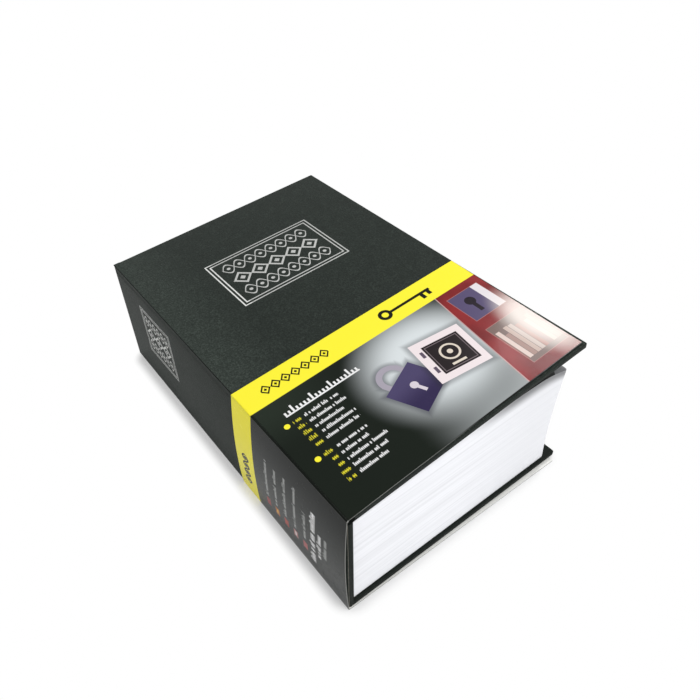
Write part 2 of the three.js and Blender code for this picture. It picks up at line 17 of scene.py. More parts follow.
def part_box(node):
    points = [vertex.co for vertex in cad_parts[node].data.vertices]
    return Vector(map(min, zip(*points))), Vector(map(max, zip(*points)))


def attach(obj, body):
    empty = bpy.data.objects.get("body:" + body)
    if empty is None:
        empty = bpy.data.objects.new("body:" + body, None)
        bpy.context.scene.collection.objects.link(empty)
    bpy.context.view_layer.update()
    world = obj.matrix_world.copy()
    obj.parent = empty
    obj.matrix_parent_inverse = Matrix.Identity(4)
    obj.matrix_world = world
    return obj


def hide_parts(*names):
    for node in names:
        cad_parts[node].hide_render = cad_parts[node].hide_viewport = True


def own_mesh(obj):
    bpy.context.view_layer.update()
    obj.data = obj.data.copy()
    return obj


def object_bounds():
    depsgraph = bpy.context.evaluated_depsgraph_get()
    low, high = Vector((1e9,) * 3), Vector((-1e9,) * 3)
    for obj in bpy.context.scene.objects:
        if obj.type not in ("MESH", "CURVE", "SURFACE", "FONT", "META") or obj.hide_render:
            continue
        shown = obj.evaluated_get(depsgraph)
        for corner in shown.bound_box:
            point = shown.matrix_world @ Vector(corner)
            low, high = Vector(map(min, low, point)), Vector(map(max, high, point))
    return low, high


bl_info = {
    "name": "Book diversion safe",
    "version": (1, 0, 0),
    "blender": (4, 5, 0),
    "location": "3D View > Sidebar > Book safe",
    "description": "Builds the covers, pages, steel box, lock, keys and card sleeve of a book safe",
    "category": "Object",
}

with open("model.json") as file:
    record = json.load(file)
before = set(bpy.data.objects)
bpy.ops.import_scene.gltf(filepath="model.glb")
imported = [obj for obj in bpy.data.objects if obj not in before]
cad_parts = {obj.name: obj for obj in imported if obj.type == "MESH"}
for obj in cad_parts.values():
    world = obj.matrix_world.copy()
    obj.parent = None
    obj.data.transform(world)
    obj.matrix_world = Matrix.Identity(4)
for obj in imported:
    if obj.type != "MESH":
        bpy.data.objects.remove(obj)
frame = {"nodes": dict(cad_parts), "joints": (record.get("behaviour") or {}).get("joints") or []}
CAD_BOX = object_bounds()
JOINTS = {joint["name"]: joint for joint in frame["joints"]}

MM = 0.001

# How near two places count as one, the angle up to which faces count as flat, and the angles past which a
# metal edge is softened and a paper edge is a rim
TOUCH = 0.01 * MM
FLAT_ANGLE = radians(0.5)
SOFTENED_ANGLE = radians(32)
RIM_ANGLE = radians(50)

# Frames of the book and of its front cover, which stands ajar
HINGE = Vector(JOINTS["cover_swing"]["pos_m"])
AJAR = -radians(JOINTS["cover_press"]["range_deg"][0])
BOOK = Matrix.Translation((HINGE.x, HINGE.y, 0))
COVER = Matrix.Translation(HINGE) @ Matrix.Rotation(-AJAR, 4, "Y")
IN_PLACE = Matrix.Identity(4)


def extent(node, place):
    """A node's lowest and highest corners in the frame of the book or of its cover."""
    back = place.inverted()
    corners = [back @ vertex.co for vertex in frame["nodes"][node].data.vertices]
    return Vector([min(c) for c in zip(*corners)]), Vector([max(c) for c in zip(*corners)])


BACK_LOW, BACK_HIGH = extent("cover_paper_back", BOOK)
BOARD_HIGH = extent("spine_board", BOOK)[1]
PAGES_LOW, PAGES_HIGH = extent("page_block", BOOK)
TRAY_HIGH = extent("steel_tray", BOOK)[1]
JOINT_WIDTH = (COVER.inverted() @ Vector(JOINTS["cover_press"]["pos_m"])).x
SPINE_HEIGHT = HINGE.z
BOOK_WIDTH = BACK_HIGH.x
HALF_LENGTH = BACK_HIGH.y
FRONT_EDGE = BOOK_WIDTH + 0.7 * MM
COVER_UNDERSIDE = -2.62 * MM
TURN_IN = 0.12 * MM

# The upper leaves swell under the cover: they rise from the spine, and droop again at the fore edge
SWELL_START = 46 * MM
SWELL_SPINE = 50 * MM
SWELL_TOP = 57.3 * MM
SWELL_REACH = 80 * MM
DROOP_START = 93 * MM
DROOP = 4.3 * MM
SWELL_CUT = 5 * MM

# One corner of the black top leaf is turned up, and shows its white side
EAR = 6.5 * MM
EAR_LIFT = 0.6 * MM

# The sleeve's edges along the book, and how far they slant across each panel
SLEEVE_HEAD = -20.4 * MM
SLEEVE_TAIL = -90.3 * MM
HEAD_SLANT_FRONT = 2.2 * MM
HEAD_SLANT_SPINE = 3.4 * MM
HEAD_SLANT_BACK = -1.7 * MM
TAIL_SLANT_BACK = -1.7 * MM
TAIL_SLANT_FRONT = 1.4 * MM
FRONT_SHORT = 1.2 * MM
BACK_SHORT = 3 * MM
CARD_GAP = 0.1 * MM

# How far the sleeve's panels stop short of the hinge line, its fold stands out between them, and the joint's
# paper slants back under the cover
FOLD_ROOM = 0.27 * MM
BEAD_STAND = 0.05 * MM
JOINT_SLANT = 0.03 * MM

# A flat sheet's coordinates: s runs across it from the hinge line, t along the book
SHEET = "sheet"
OFF_SHEET = 0.5
SOFT_EDGE = 0.06

# Pitches of the print's rows, and of the books on its shelf, in millimetres
FRONT_PITCH = 3.3
SPINE_PITCH = 6.25
BOOK_PITCH = 2.3


def display(red, green, blue):
    """The linear colour that shows as these screen values, each from 0 to 255."""
    shares = [value / 255 for value in (red, green, blue)]
    return tuple(v / 12.92 if v <= 0.04045 else ((v + 0.055) / 1.055) ** 2.4 for v in shares)


# Inks and printed shadows of the print, and the black of a painted shadow line
PRINT_WHITE = display(236, 236, 236)
PRINT_GREY = display(190, 192, 190)
INSET_EDGE = display(176, 120, 116)
PADLOCK_SHADOW = (0.03, 0.03, 0.05)
STRONGBOX_SHADOW = (0.03, 0.03, 0.04)
SHADOW_BLACK = (0.004, 0.004, 0.004)


def size_setting(name, description, millimetres):
    return FloatProperty(name=name, description=description, default=millimetres * MM, min=0, unit="LENGTH")


def colour_setting(name, description, *screen):
    return FloatVectorProperty(
        name=name, description=description, default=display(*screen), size=3, min=0, max=1, subtype="COLOR"
    )


class BookSafeSizes(bpy.types.PropertyGroup):
    """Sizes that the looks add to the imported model."""

    paper: size_setting("Paper", "Thickness of the covering paper where it bends at the hinge", 0.25)
    back_corner: size_setting("Back corner", "Radius of the back cover's corners seen from above", 0.9)
    front_corner: size_setting("Front corner", "Radius of the front cover's corners seen from above", 0.4)
    cover_edge: size_setting("Cover edge", "Radius of the paper over the boards' long edges", 0.45)
    page_corner: size_setting("Page corner", "Radius of the page block's corners at the fore edge", 2.5)
    fore_edge_hollow: size_setting("Fore edge hollow", "How far the fore edge curves in at mid-height", 1.5)
    leaf_thin: size_setting("Thinnest section", "Thickness of the thinnest bunch of leaves", 0.2)
    leaf_thick: size_setting("Thickest section", "Thickness of the thickest bunch of leaves", 0.8)
    leaf_stagger: size_setting("Stagger", "How far a bunch of leaves may lie back from the cut edge", 0.03)
    card: size_setting("Card", "Thickness of the sleeve's card", 0.35)
    spine_bow: size_setting("Spine bow", "How far the sleeve stands out from the spine at mid-height", 1.2)
    front_lift: size_setting("Front lift", "How far the sleeve lifts from the middle of the front cover", 0.2)
    tail_lift: size_setting("Tail lift", "How far the sleeve's tail edge lifts from the front cover", 0.3)
    spring_wire: size_setting("Spring wire", "Thickness of the wafer springs' wire", 0.16)
    leaf_seed: IntProperty(
        name="Leaf seed", description="Start of the random leaf pattern", default=11, min=0
    )


class BookSafeColours(bpy.types.PropertyGroup):
    """Colours of the finishes."""

    leather: colour_setting("Covering paper", "Black leather-grain paper", 49, 55, 51)
    foil: colour_setting("Foil", "Silver foil of the rules and ornaments", 190, 191, 188)
    leaves: colour_setting("Leaves", "Cut edges of the pages", 241, 242, 246)
    endpaper: colour_setting("Endpaper", "Paper that lines the covers", 226, 226, 229)
    top_leaf: colour_setting("Top leaf", "Black paper on top of the page block", 34, 35, 34)
    board: colour_setting("Board", "Raw bookbinding board", 149, 141, 131)
    paint: colour_setting("Paint", "Powder coat of the steel box", 34, 34, 37)
    steel: colour_setting("Steel", "Zinc-plated steel", 188, 189, 193)
    chrome: colour_setting("Chrome", "Plated lock", 214, 215, 218)
    brass: colour_setting("Brass", "Stamped wafers", 203, 172, 104)
    nickel: colour_setting("Nickel", "Plated keys", 200, 196, 190)
    card: colour_setting("Card", "Unprinted side of the sleeve", 244, 244, 240)
    card_edge: colour_setting("Card edge", "Cut edges of the sleeve", 122, 122, 119)
    print_dark: colour_setting("Print dark", "Ground of the sleeve's front", 25, 31, 25)
    print_spine: colour_setting("Print spine", "Ground of the sleeve's spine", 41, 44, 42)
    band: colour_setting("Band", "Band along the sleeve's edge", 251, 240, 60)
    glow: colour_setting("Glow", "Middle of the pale patch on the sleeve", 214, 220, 222)
    panel: colour_setting("Panel", "Panel at the sleeve's fore edge", 130, 40, 42)


# Meshes

def box(mesh, low, high):
    """Adds a box between two corners."""
    made = bmesh.ops.create_cube(mesh, size=1)["verts"]
    low, high = Vector(low), Vector(high)
    bmesh.ops.scale(mesh, vec=high - low, verts=made)
    bmesh.ops.translate(mesh, vec=(low + high) / 2, verts=made)


def extruded(mesh, face, shift):
    """Extrudes a face and gives the new one."""
    grown = bmesh.ops.extrude_face_region(mesh, geom=[face])["geom"]
    ends = [part for part in grown if isinstance(part, bmesh.types.BMVert)]
    bmesh.ops.translate(mesh, vec=shift, verts=ends)
    return next(part for part in grown if isinstance(part, bmesh.types.BMFace))


def profile_bar(mesh, profile, half_length):
    """Adds a bar along Y with a profile of x and z."""
    made = mesh.faces.new([mesh.verts.new((x, -half_length, z)) for x, z in profile])
    extruded(mesh, made, (0, 2 * half_length, 0))
    bmesh.ops.recalc_face_normals(mesh, faces=mesh.faces)


def cut_through(mesh, place, normal):
    """Cuts the faces that a plane crosses."""
    parts = mesh.verts[:] + mesh.edges[:] + mesh.faces[:]
    bmesh.ops.bisect_plane(mesh, geom=parts, plane_co=place, plane_no=normal)


def round_edges(mesh, edges, radius, segments=3):
    bmesh.ops.bevel(
        mesh, geom=list(edges), offset=radius, segments=segments, profile=0.5, affect="EDGES", material=-1,
        clamp_overlap=True,
    )


def uprights(mesh, test):
    """The edges along z both of whose ends pass a test."""
    passed = [edge for edge in mesh.edges if all(test(vertex.co) for vertex in edge.verts)]
    return [edge for edge in passed if abs(edge.verts[0].co.z - edge.verts[1].co.z) > MM]


def rims(mesh, test):
    """The sharp edges one of whose ends passes a test."""
    sharp = [edge for edge in mesh.edges if edge.calc_face_angle(0) > RIM_ANGLE]
    return [edge for edge in sharp if any(test(vertex.co) for vertex in edge.verts)]


def unroll(mesh, sheet_place):
    """Gives every corner of a mesh its place on the flat sheet that the piece was cut from."""
    mesh.normal_update()
    layer = mesh.loops.layers.uv.new(SHEET)
    for face in mesh.faces:
        for loop in face.loops:
            loop[layer].uv = sheet_place(face.normal, loop.vert.co)


def cover_sheet(normal, place):
    """Place of a point of the front cover on the sheet. Only the outer face lies on the printed side."""
    return place.x + (0 if normal.z > 0.5 else OFF_SHEET), place.y


def spine_sheet(normal, place):
    """Place of a point of the spine on the sheet."""
    return place.z - SPINE_HEIGHT - (0 if normal.x < -0.5 else OFF_SHEET), place.y


def leaf_sheet(normal, place):
    """Place of a point of the page block on its cut sides: along them, and up from leaf to leaf."""
    return place.x + place.y, place.z


def swell(x):
    """Height of the top leaf over a place across the book."""
    rise = (SWELL_TOP - SWELL_SPINE) * min(1, max(0, x - PAGES_LOW.x) / (SWELL_REACH - PAGES_LOW.x))
    droop = DROOP * (max(0, x - DROOP_START) / (PAGES_HIGH.x - DROOP_START)) ** 2
    return SWELL_SPINE + rise - droop


def linked(name, data):
    """Adds an object to the scene."""
    made = bpy.data.objects.new(name, data)
    bpy.context.scene.collection.objects.link(made)
    return made


def finish_piece(name, mesh, place, body, finishes, replaced=(), smooth=40):
    """Turns a mesh into a piece that rides on a body."""
    bmesh.ops.transform(mesh, matrix=place, verts=mesh.verts)
    mesh.edges.index_update()
    borders = [edge.index for edge in mesh.edges if edge.is_boundary]
    data = bpy.data.meshes.new(name)
    mesh.to_mesh(data)
    mesh.free()
    for finish in finishes:
        data.materials.append(material_of(finish))
    data.shade_smooth()
    data.set_sharp_from_angle(angle=radians(smooth))
    for index in borders:
        data.edges[index].use_edge_sharp = True
    piece = linked(name, data)
    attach(piece, body)
    if replaced:
        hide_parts(*replaced)
    return piece


def softened(name, node, body, slot, radius):
    """Replaces a metal node by a copy with its sharp edges rounded."""
    mesh = bmesh.new()
    mesh.from_mesh(frame["nodes"][node].data)
    for layer in list(mesh.loops.layers.uv):
        mesh.loops.layers.uv.remove(layer)
    bmesh.ops.remove_doubles(mesh, verts=mesh.verts, dist=0.001 * MM)
    bmesh.ops.dissolve_limit(mesh, angle_limit=FLAT_ANGLE, verts=mesh.verts, edges=mesh.edges)
    sharp = [edge for edge in mesh.edges if edge.is_manifold and edge.calc_face_angle() > SOFTENED_ANGLE]
    round_edges(mesh, sharp, radius * MM, 2)
    piece = finish_piece(name, mesh, IN_PLACE, body, [METAL_FINISHES[slot]], [node], 50)
    piece.modifiers.new("even_shading", "WEIGHTED_NORMAL").keep_sharp = True


def dress(finish, *nodes):
    """Gives nodes that stay as they are a finish of their own."""
    for node in nodes:
        slots = frame["nodes"][node].data.materials
        slots.clear()
        slots.append(material_of(finish))


# Shader values as expressions

def math_method(operation, reflected=False):
    """A method that adds a Math node on a number and the values that it is given."""
    def method(self, *others):
        values = (*others, self) if reflected else (self, *others)
        return self.node("ShaderNodeMath", {"operation": operation}, dict(enumerate(values)))
    return method


class Field:
    """A number, colour or vector in a material. Arithmetic on numbers adds Math nodes."""

    def __init__(self, tree, socket=None):
        self.tree = tree
        self.socket = socket

    def node(self, kind, settings=None, sockets=None, output=0):
        """Adds a node, sets its settings and then its sockets, and gives one of its outputs."""
        made = self.tree.nodes.new(kind)
        for name, value in (settings or {}).items():
            if name == "stops":
                self.set_stops(made.color_ramp, value)
            else:
                setattr(made, name, value)
        for name, value in (sockets or {}).items():
            if isinstance(value, Field):
                self.tree.links.new(value.socket, made.inputs[name])
            else:
                made.inputs[name].default_value = value
        return Field(self.tree, made.outputs[output] if len(made.outputs) else None)

    @staticmethod
    def set_stops(ramp, stops):
        """Places the stops of a colour ramp."""
        while len(ramp.elements) < len(stops):
            ramp.elements.new(1)
        for element, (position, colour) in zip(ramp.elements, stops):
            element.position = position
            element.color = (*colour, 1)

    __add__ = __radd__ = math_method("ADD")
    __sub__ = math_method("SUBTRACT")
    __rsub__ = math_method("SUBTRACT", reflected=True)
    __mul__ = __rmul__ = math_method("MULTIPLY")
    __truediv__ = math_method("DIVIDE")
    __abs__ = math_method("ABSOLUTE")
    __lt__ = math_method("LESS_THAN")
    __gt__ = math_method("GREATER_THAN")
    least = math_method("MINIMUM")
    most = math_method("MAXIMUM")
    floor = math_method("FLOOR")
    fraction = math_method("FRACT")
    root = math_method("SQRT")
    sine = math_method("SINE")

    def repeated(self, pitch):
        """This length measured afresh in each pitch, from its middle."""
        return (self / pitch).fraction() * pitch - pitch / 2

    def parts(self):
        """The x, y and z of a vector."""
        made = self.node("ShaderNodeSeparateXYZ", sockets={0: self}).socket.node
        return [Field(self.tree, output) for output in made.outputs]

    def joined(self, y, z=0.0):
        """A vector of this number and two more."""
        return self.node("ShaderNodeCombineXYZ", sockets={0: self, 1: y, 2: z})

    def stretched(self, x, y, z):
        """A vector with each part scaled."""
        return self.node("ShaderNodeVectorMath", {"operation": "MULTIPLY"}, {0: self, 1: (x, y, z)})

    def ramp(self, start, end, low=0.0, high=1.0):
        """Runs smoothly from low to high as this value goes from start to end."""
        sockets = {"Value": self, "From Min": start, "From Max": end, "To Min": low, "To Max": high}
        return self.node("ShaderNodeMapRange", {"interpolation_type": "SMOOTHSTEP"}, sockets)

    def inside(self, softness=SOFT_EDGE):
        """1 where a distance is below nought and 0 where it is above."""
        return self.ramp(-softness, softness, 1.0, 0.0)

    def tinted(self, *stops):
        """The colour that a row of stops gives this value."""
        return self.node("ShaderNodeValToRGB", {"stops": stops}, {0: self})

    def noise(self, scale, detail=2.0, roughness=0.5):
        sockets = {"Vector": self, "Scale": scale, "Detail": detail, "Roughness": roughness}
        return self.node("ShaderNodeTexNoise", sockets=sockets)

    def random(self, seed=0.0):
        """A random number from 0 to 1 for each whole value."""
        place = self.joined(seed, 0.5)
        return self.node("ShaderNodeTexWhiteNoise", sockets={"Vector": place})

    def bump(self, distance, strength=1.0, under=None):
        sockets = {"Height": self, "Distance": distance, "Strength": strength}
        if under:
            sockets["Normal"] = under
        return self.node("ShaderNodeBump", sockets=sockets)


def mix(factor, first, second):
    """A colour between two colours."""
    first, second = (c if isinstance(c, Field) else (*c, 1) for c in (first, second))
    return factor.node("ShaderNodeMix", {"data_type": "RGBA"}, {0: factor, 6: first, 7: second}, output=2)


def reach(x, y):
    """Distance of a point from the middle."""
    return (x * x + y * y).root()


def disc(x, y, centre, radius):
    """Distance outside a disc."""
    return reach(x - centre[0], y - centre[1]) - radius


def block(x, y, centre, half):
    """Distance outside a rectangle."""
    return (abs(x - centre[0]) - half[0]).most(abs(y - centre[1]) - half[1])


def start_material(name):
    """A new empty material, and the field that its nodes start from."""
    material = bpy.data.materials.new(name)
    material.use_nodes = True
    material.node_tree.nodes.clear()
    return material, Field(material.node_tree)


def solid_place(start):
    """Object coordinates in millimetres."""
    return start.node("ShaderNodeTexCoord", output="Object").stretched(1 / MM, 1 / MM, 1 / MM)


def sheet_place(start):
    """A piece's place on its flat sheet, in millimetres."""
    return start.node("ShaderNodeUVMap", {"uv_map": SHEET}).stretched(1 / MM, 1 / MM, 1 / MM)


def colour_of(name):
    return tuple(getattr(bpy.context.scene.book_safe_colours, name))


def shade(colour, share):
    """A colour made darker or lighter."""
    return tuple(min(1, value * share) for value in colour)


def shades(factor, colour, low, high=1):
    """A colour between two shares of itself."""
    return mix(factor, shade(colour, low), shade(colour, high))


def painted(colour, shape, *screen, strength=1.0, softness=SOFT_EDGE):
    """A colour with another, in screen values, laid over it where a distance is below nought."""
    cover = shape.inside(softness)
    return mix(cover * strength if strength < 1 else cover, colour, display(*screen))


# Finishes: the functions that FINISHES names give the sockets of their Principled shaders

DARK_SHEEN = {"IOR": 1.25, "Specular IOR Level": 0.1}


def foil_frame(x, y, half_outer, half_inner, width):
    """Two rules, one inside the other."""
    outer = abs(block(x, y, (0, 0), half_outer)) - width
    inner = abs(block(x, y, (0, 0), half_inner)) - width
    return outer.least(inner)


def braid(x, y, height, eye, width):
    """Two waves that cross, with a dot in each eye."""
    wave = (x * (pi / eye)).sine() * height
    line = abs(abs(y) - abs(wave)) - width
    return line.least(reach(x.repeated(eye), y) - 2 * width)


def lozenges(x, y, pitch, half_width, half_height, width):
    """A row of lozenges, each round a small solid one."""
    spread = abs((x + pitch / 2).repeated(pitch)) / half_width + abs(y) / half_height
    return (abs(spread - 1) - width).least(spread - 0.36) * min(half_width, half_height)


def foil_ornament(s, t):
    """Foil on the front cover, with rows of ornament in a double rule."""
    x, y = s - 59, t - 38.2
    frame_lines = foil_frame(x, y, (28, 18.1), (26.3, 16.3), 0.3)
    rows = braid(x, abs(y) - 9.9, 3.5, 5.75, 0.44)
    rows = rows.least(lozenges(x, y, 9.2, 4.1, 4.2, 0.17))
    return frame_lines.least(rows.most(abs(x) - 23.2))


def foil_spine(s, t):
    """Foil on the spine: rows of ornament that run up the book, between rules."""
    x, y = t - 51.5, s + 23.2
    frame_lines = foil_frame(x, y, (14.5, 13.2), (13.3, 12.0), 0.24)
    rows = braid(x, abs(y) - 7.0, 2.6, 4.0, 0.42)
    rows = rows.least(lozenges(x, y, 8, 3.5, 3.1, 0.22))
    return frame_lines.least(rows.most(abs(x) - 12.2))


def leather_colour(place, s, t, grain, cells, rubbed):
    """Colour of the bare paper: mottled, dark in its grain, lighter near the hinge and worn at its edges;
    painted shade darkens its crease, edges and undersides.
    """
    base = colour_of("leather")
    mottle = place.noise(0.22, 5, 0.72).ramp(0.32, 0.68)
    away = s.ramp(0, 34) + (s < 0)
    near_and_far = ((1.45, 0.88), (2.0, 1.24), (1.05, 0.66))
    low, high, pits = (shades(away, base, *shares) for shares in near_and_far)
    colour = mix(grain.ramp(0.42, 0.6), pits, mix(mottle, low, high))
    colour = mix(cells.ramp(0.0, 0.12, 0.5, 0.0), colour, shade(base, 0.4))
    fore_edge, book_end = 115.3, 89.8
    from_edge = (fore_edge - s).least(book_end - abs(t)).most(0)
    worn = from_edge.ramp(0.1, 0.9, 1.0, 0.0) * rubbed.ramp(0.5, 0.66)
    colour = mix(worn * 0.35, colour, shade(base, 3.2))
    # Painted shade: a dark line along the crease at the hinge line
    crease_shade = abs(s - 0.1).ramp(0.1, 0.34, 1.0, 0.0)
    colour = mix(crease_shade * 0.95, colour, shade(base, 0.12))
    # Painted shade: the faces off the printed sheet, the edges and undersides, are darkened, the back's and
    # spine's more than the front's
    painted_edge_shade = (abs(s) - OFF_SHEET / MM / 2).ramp(0, 1) * s.ramp(-1, 1, 0.85, 0.6)
    return mix(painted_edge_shade, colour, shade(base, 0.3))


def leather_paper(start):
    """Black leather-grain covering paper, blocked in silver foil."""
    place = solid_place(start)
    s, t, _ = sheet_place(start).parts()
    grain = place.noise(1.1, 5, 0.7)
    cells = place.node(
        "ShaderNodeTexVoronoi", {"feature": "DISTANCE_TO_EDGE"}, {"Vector": place, "Scale": 1.0}
    )
    rubbed = place.noise(0.9, 4, 0.7)
    wear = place.noise(0.28, 2) * 0.5 + rubbed * 0.5
    front_foil = foil_ornament(s, t).inside(0.09) * rubbed.ramp(0.3, 0.42, 0.55, 1.0)
    foil = front_foil.most(foil_spine(s, t).inside(0.1) * wear.ramp(0.36, 0.5, 0.35, 1.0))
    # Painted highlight: the foil rules nearest the spine are made brighter
    bright = abs(s - 31.9).ramp(1.5, 3.0, 1.0, 0.0)
    silver = shades(bright, colour_of("foil"), 1, 1.5)
    relief = (grain * 0.55 + cells.ramp(0.0, 0.25) * 0.45).bump(0.09 * MM, 0.9)
    return {
        "Base Color": mix(foil, leather_colour(place, s, t, grain, cells, rubbed), silver),
        "Metallic": foil * 0.6,
        "Roughness": grain.ramp(0.3, 0.7, 0.46, 0.6) - foil * 0.14,
        "Normal": (1 - foil).bump(0.03 * MM, 0.6, relief),
        **DARK_SHEEN,
    }


def leaf_paper(start):
    """Cut edges of the leaves: white, with soft uneven lines, and a painted shadow of the cover just under
    the top leaf.
    """
    place = sheet_place(start)
    along, up, _ = place.parts()
    lines = place.stretched(0.006, 5, 1).noise(1, 2, 0.6)
    bands = place.stretched(0.004, 0.3, 1).noise(1, 2, 0.5)
    streaks = place.stretched(0.01, 0.9, 1).noise(1, 2, 0.5)
    base = colour_of("leaves")
    colour = shades(lines.ramp(0.34, 0.56), base, 0.95)
    colour = mix(bands.ramp(0.4, 0.62, 0.0, 0.7), colour, shade(base, 0.9))
    colour = mix(streaks.ramp(0.5, 0.7, 0.0, 0.85), colour, shade(base, 0.84))
    colour = mix(along.ramp(-45, 15, 0.0, 0.7), colour, shade(base, 0.82))
    # Painted shadow: the leaves just under the cover are darkened towards the fore edge
    cover_shadow = (up - PAGES_HIGH.z / MM).ramp(-3.9, -0.4) * along.ramp(-36, -6)
    colour = mix(cover_shadow * 0.92, colour, shade(base, 0.2))
    relief = (lines * 0.7 + streaks * 0.3).bump(0.03 * MM, 0.5)
    return {"Base Color": colour, "Roughness": 0.75, "Normal": relief}


def plain_paper(start, colour_name):
    """Matt uncoated paper with faint fibres."""
    place = solid_place(start)
    fibres = place.stretched(1.2, 0.35, 1).noise(1.4, 5, 0.7)
    clouds = place.noise(0.07, 2)
    base = colour_of(colour_name)
    colour = shades(fibres.ramp(0.35, 0.68), base, 0.9)
    colour = mix(clouds.ramp(0.4, 0.7, 0.0, 0.35), colour, shade(base, 0.86))
    return {"Base Color": colour, "Roughness": 0.82, "Normal": fibres.bump(0.03 * MM, 0.6)}


def grey_board(start):
    """Raw bookbinding board."""
    place = solid_place(start)
    specks = place.noise(3.1, 4, 0.75)
    plies = place.stretched(0.05, 0.05, 3).noise(1, 2)
    base = colour_of("board")
    colour = shades(specks.ramp(0.38, 0.62), base, 0.72, 1.1)
    colour = mix(plies.ramp(0.42, 0.6, 0.0, 0.3), colour, shade(base, 0.65))
    return {"Base Color": colour, "Roughness": 0.9, "Normal": specks.bump(0.06 * MM, 0.7)}


def bare_card(start):
    """The unprinted side of the sleeve's card."""
    place = solid_place(start)
    fibres = place.noise(1.6, 4, 0.6)
    base = colour_of("card")
    colour = shades(fibres.ramp(0.36, 0.66), base, 0.93)
    return {"Base Color": colour, "Roughness": 0.6, "Normal": fibres.bump(0.02 * MM, 0.5)}


def cut_card(start):
    """Cut edges of the sleeve's card. The front's edges are painted near-black away from the spine, a painted
    shadow under the lifted card.
    """
    place = solid_place(start)
    x, _, z = place.parts()
    # Painted shadow: the front's cut edges turn near-black away from the spine
    rim_shadow = x.ramp(-30, 5) * (z - SPINE_HEIGHT / MM).ramp(-3, -1)
    base = colour_of("card_edge")
    colour = shades(place.noise(1.6, 4, 0.6).ramp(0.36, 0.66), base, 0.93)
    colour = mix(rim_shadow, colour, shade(base, 0.03))
    return {"Base Color": colour, "Roughness": 0.6, "Specular IOR Level": 0.1}


def small_print(along, across, seed, span, rows, pitch, size, weight=0.15):
    """Rows of short strokes that stand for words: 1 on the ink. across runs down from the first row."""
    start, end = span
    row = (across / pitch + 0.5).floor()
    width = size * 0.5
    cell = (along / width).floor()
    x = abs(along.repeated(width) / size) - weight
    y = (across - row * pitch) / size
    kind = (cell + row * 37.0).random(seed)
    low = x.most(abs(y) - 0.42)
    tall = x.most(abs(y + 0.2) - 0.6) + (kind < 0.78) * 9
    bar = abs(y) - 0.15 + (kind > 0.7) * 9
    ink = low.least(tall).least(bar).inside(0.12)
    gap = (cell * 1.37 + row * 11.0).random(seed + 3) > 0.14
    length = (row + 1).random(seed) * (end - start) * 0.4 + (start + (end - start) * 0.6)
    line = (along > start) * (along < length) * (row > -0.5) * (row < rows - 0.5)
    return ink * gap * line


def key_outline(x, y):
    """A key that lies along x, its ring round the middle."""
    bow = reach(x, y)
    ring = (bow - 3.1).most(1.5 - bow)
    shaft = block(x, y, (13.5, 0), (11, 0.72))
    bits = block(x, y, (19.4, -1.8), (0.95, 1.9)).least(block(x, y, (22.9, -1.5), (0.95, 1.6)))
    return ring.least(shaft).least(bits)


def turned(x, y, centre, degrees):
    """Coordinates about a centre, turned."""
    x, y = x - centre[0], y - centre[1]
    c, n = cos(radians(degrees)), sin(radians(degrees))
    return x * c + y * n, y * c - x * n


def paint_padlock(colour, s, t):
    """A closed padlock in the pale patch."""
    x, y = turned(s, t, (51.5, -60.5), 24)
    shackle = (abs(reach(x, y - 5.5) - 5.2) - 1.25).most(5.0 - y)
    shackle = shackle.least(block(abs(x), y, (5.2, 4.4), (1.25, 2.6)))
    body = block(x, y, (0, -4.5), (8.4, 7.2)) - 1.1
    colour = mix((shackle - 1.2).least(body - 1.3).inside(1.4) * 0.55, colour, PADLOCK_SHADOW)
    colour = painted(colour, shackle, 166, 160, 172)
    colour = painted(colour, body, 52, 44, 78)
    sheen = (y + x * 0.3 + 4).ramp(-7, 5, 0.0, 0.35)
    colour = mix(body.inside() * sheen, colour, display(108, 100, 140))
    hole = disc(x, y, (0, -3.2), 1.7).least(block(x, y, (0, -6), (0.75, 2.4)))
    return painted(colour, hole, 214, 205, 214)


def paint_strongbox(colour, s, t):
    """A small strongbox with a dial in the pale patch."""
    x, y = turned(s, t, (73.8, -60.5), -8)
    case = block(x, y, (0, 0), (10.6, 10.2)) - 1.2
    door = block(x, y, (0.6, 0), (8.4, 8.2))
    colour = mix((case - 1.6).inside(1.6) * 0.5, colour, STRONGBOX_SHADOW)
    colour = painted(colour, case, 236, 224, 226)
    colour = painted(colour, door, 40, 34, 36)
    colour = painted(colour, abs(door + 1) - 0.18, 120, 108, 112)
    bow = reach(x - 0.6, y - 0.6)
    dial = (bow - 4.3).most(3.4 - bow).least(bow - 1.2)
    colour = painted(colour, dial.least(block(x, y, (0.6, -5.6), (3.2, 0.55))), 222, 210, 196)
    return painted(colour, block(x, abs(y), (-9.2, 4.6), (0.7, 1.7)), 96, 84, 100)


def paint_inset(colour, shape, *screen):
    """The ground and the thin border of a small picture."""
    colour = mix(abs(shape + 0.1).ramp(0.25, 0.4, 1.0, 0.0), colour, INSET_EDGE)
    return painted(colour, shape, *screen)


def paint_insets(colour, s, t):
    """Two small pictures in the panel at the fore edge: a keyhole plate, and books on a shelf."""
    x, y = s - 102.8, t + 47.0
    plate = block(x, y, (0, 0), (8.6, 8.4))
    colour = paint_inset(colour, plate, 88, 78, 112)
    colour = painted(colour, plate.most(4.6 - x), 226, 220, 224)
    hole = disc(x, y, (-1.6, 2.0), 2.5).least(block(x, y, (-1.6, -2.0), (1.0, 3.4)))
    colour = painted(colour, hole, 34, 26, 36)
    x, y = s - 102.8, t + 73.4
    shelf = block(x, y, (0, 0), (9.8, 12.0))
    colour = paint_inset(colour, shelf, 118, 98, 92)
    number = (x / BOOK_PITCH).floor()
    book_colours = number.random(4.2).tinted(
        (0.0, display(120, 62, 54)), (0.3, display(214, 196, 184)), (0.55, display(92, 78, 98)),
        (0.8, display(160, 96, 80)), (1.0, display(228, 214, 206)),
    )
    top = number.random(9.1) * 4.5 + 4
    book = shelf.most(y - top).most(abs(x.repeated(BOOK_PITCH)) - 1.02).most(-9.6 - y)
    return mix(book.inside(), colour, book_colours)


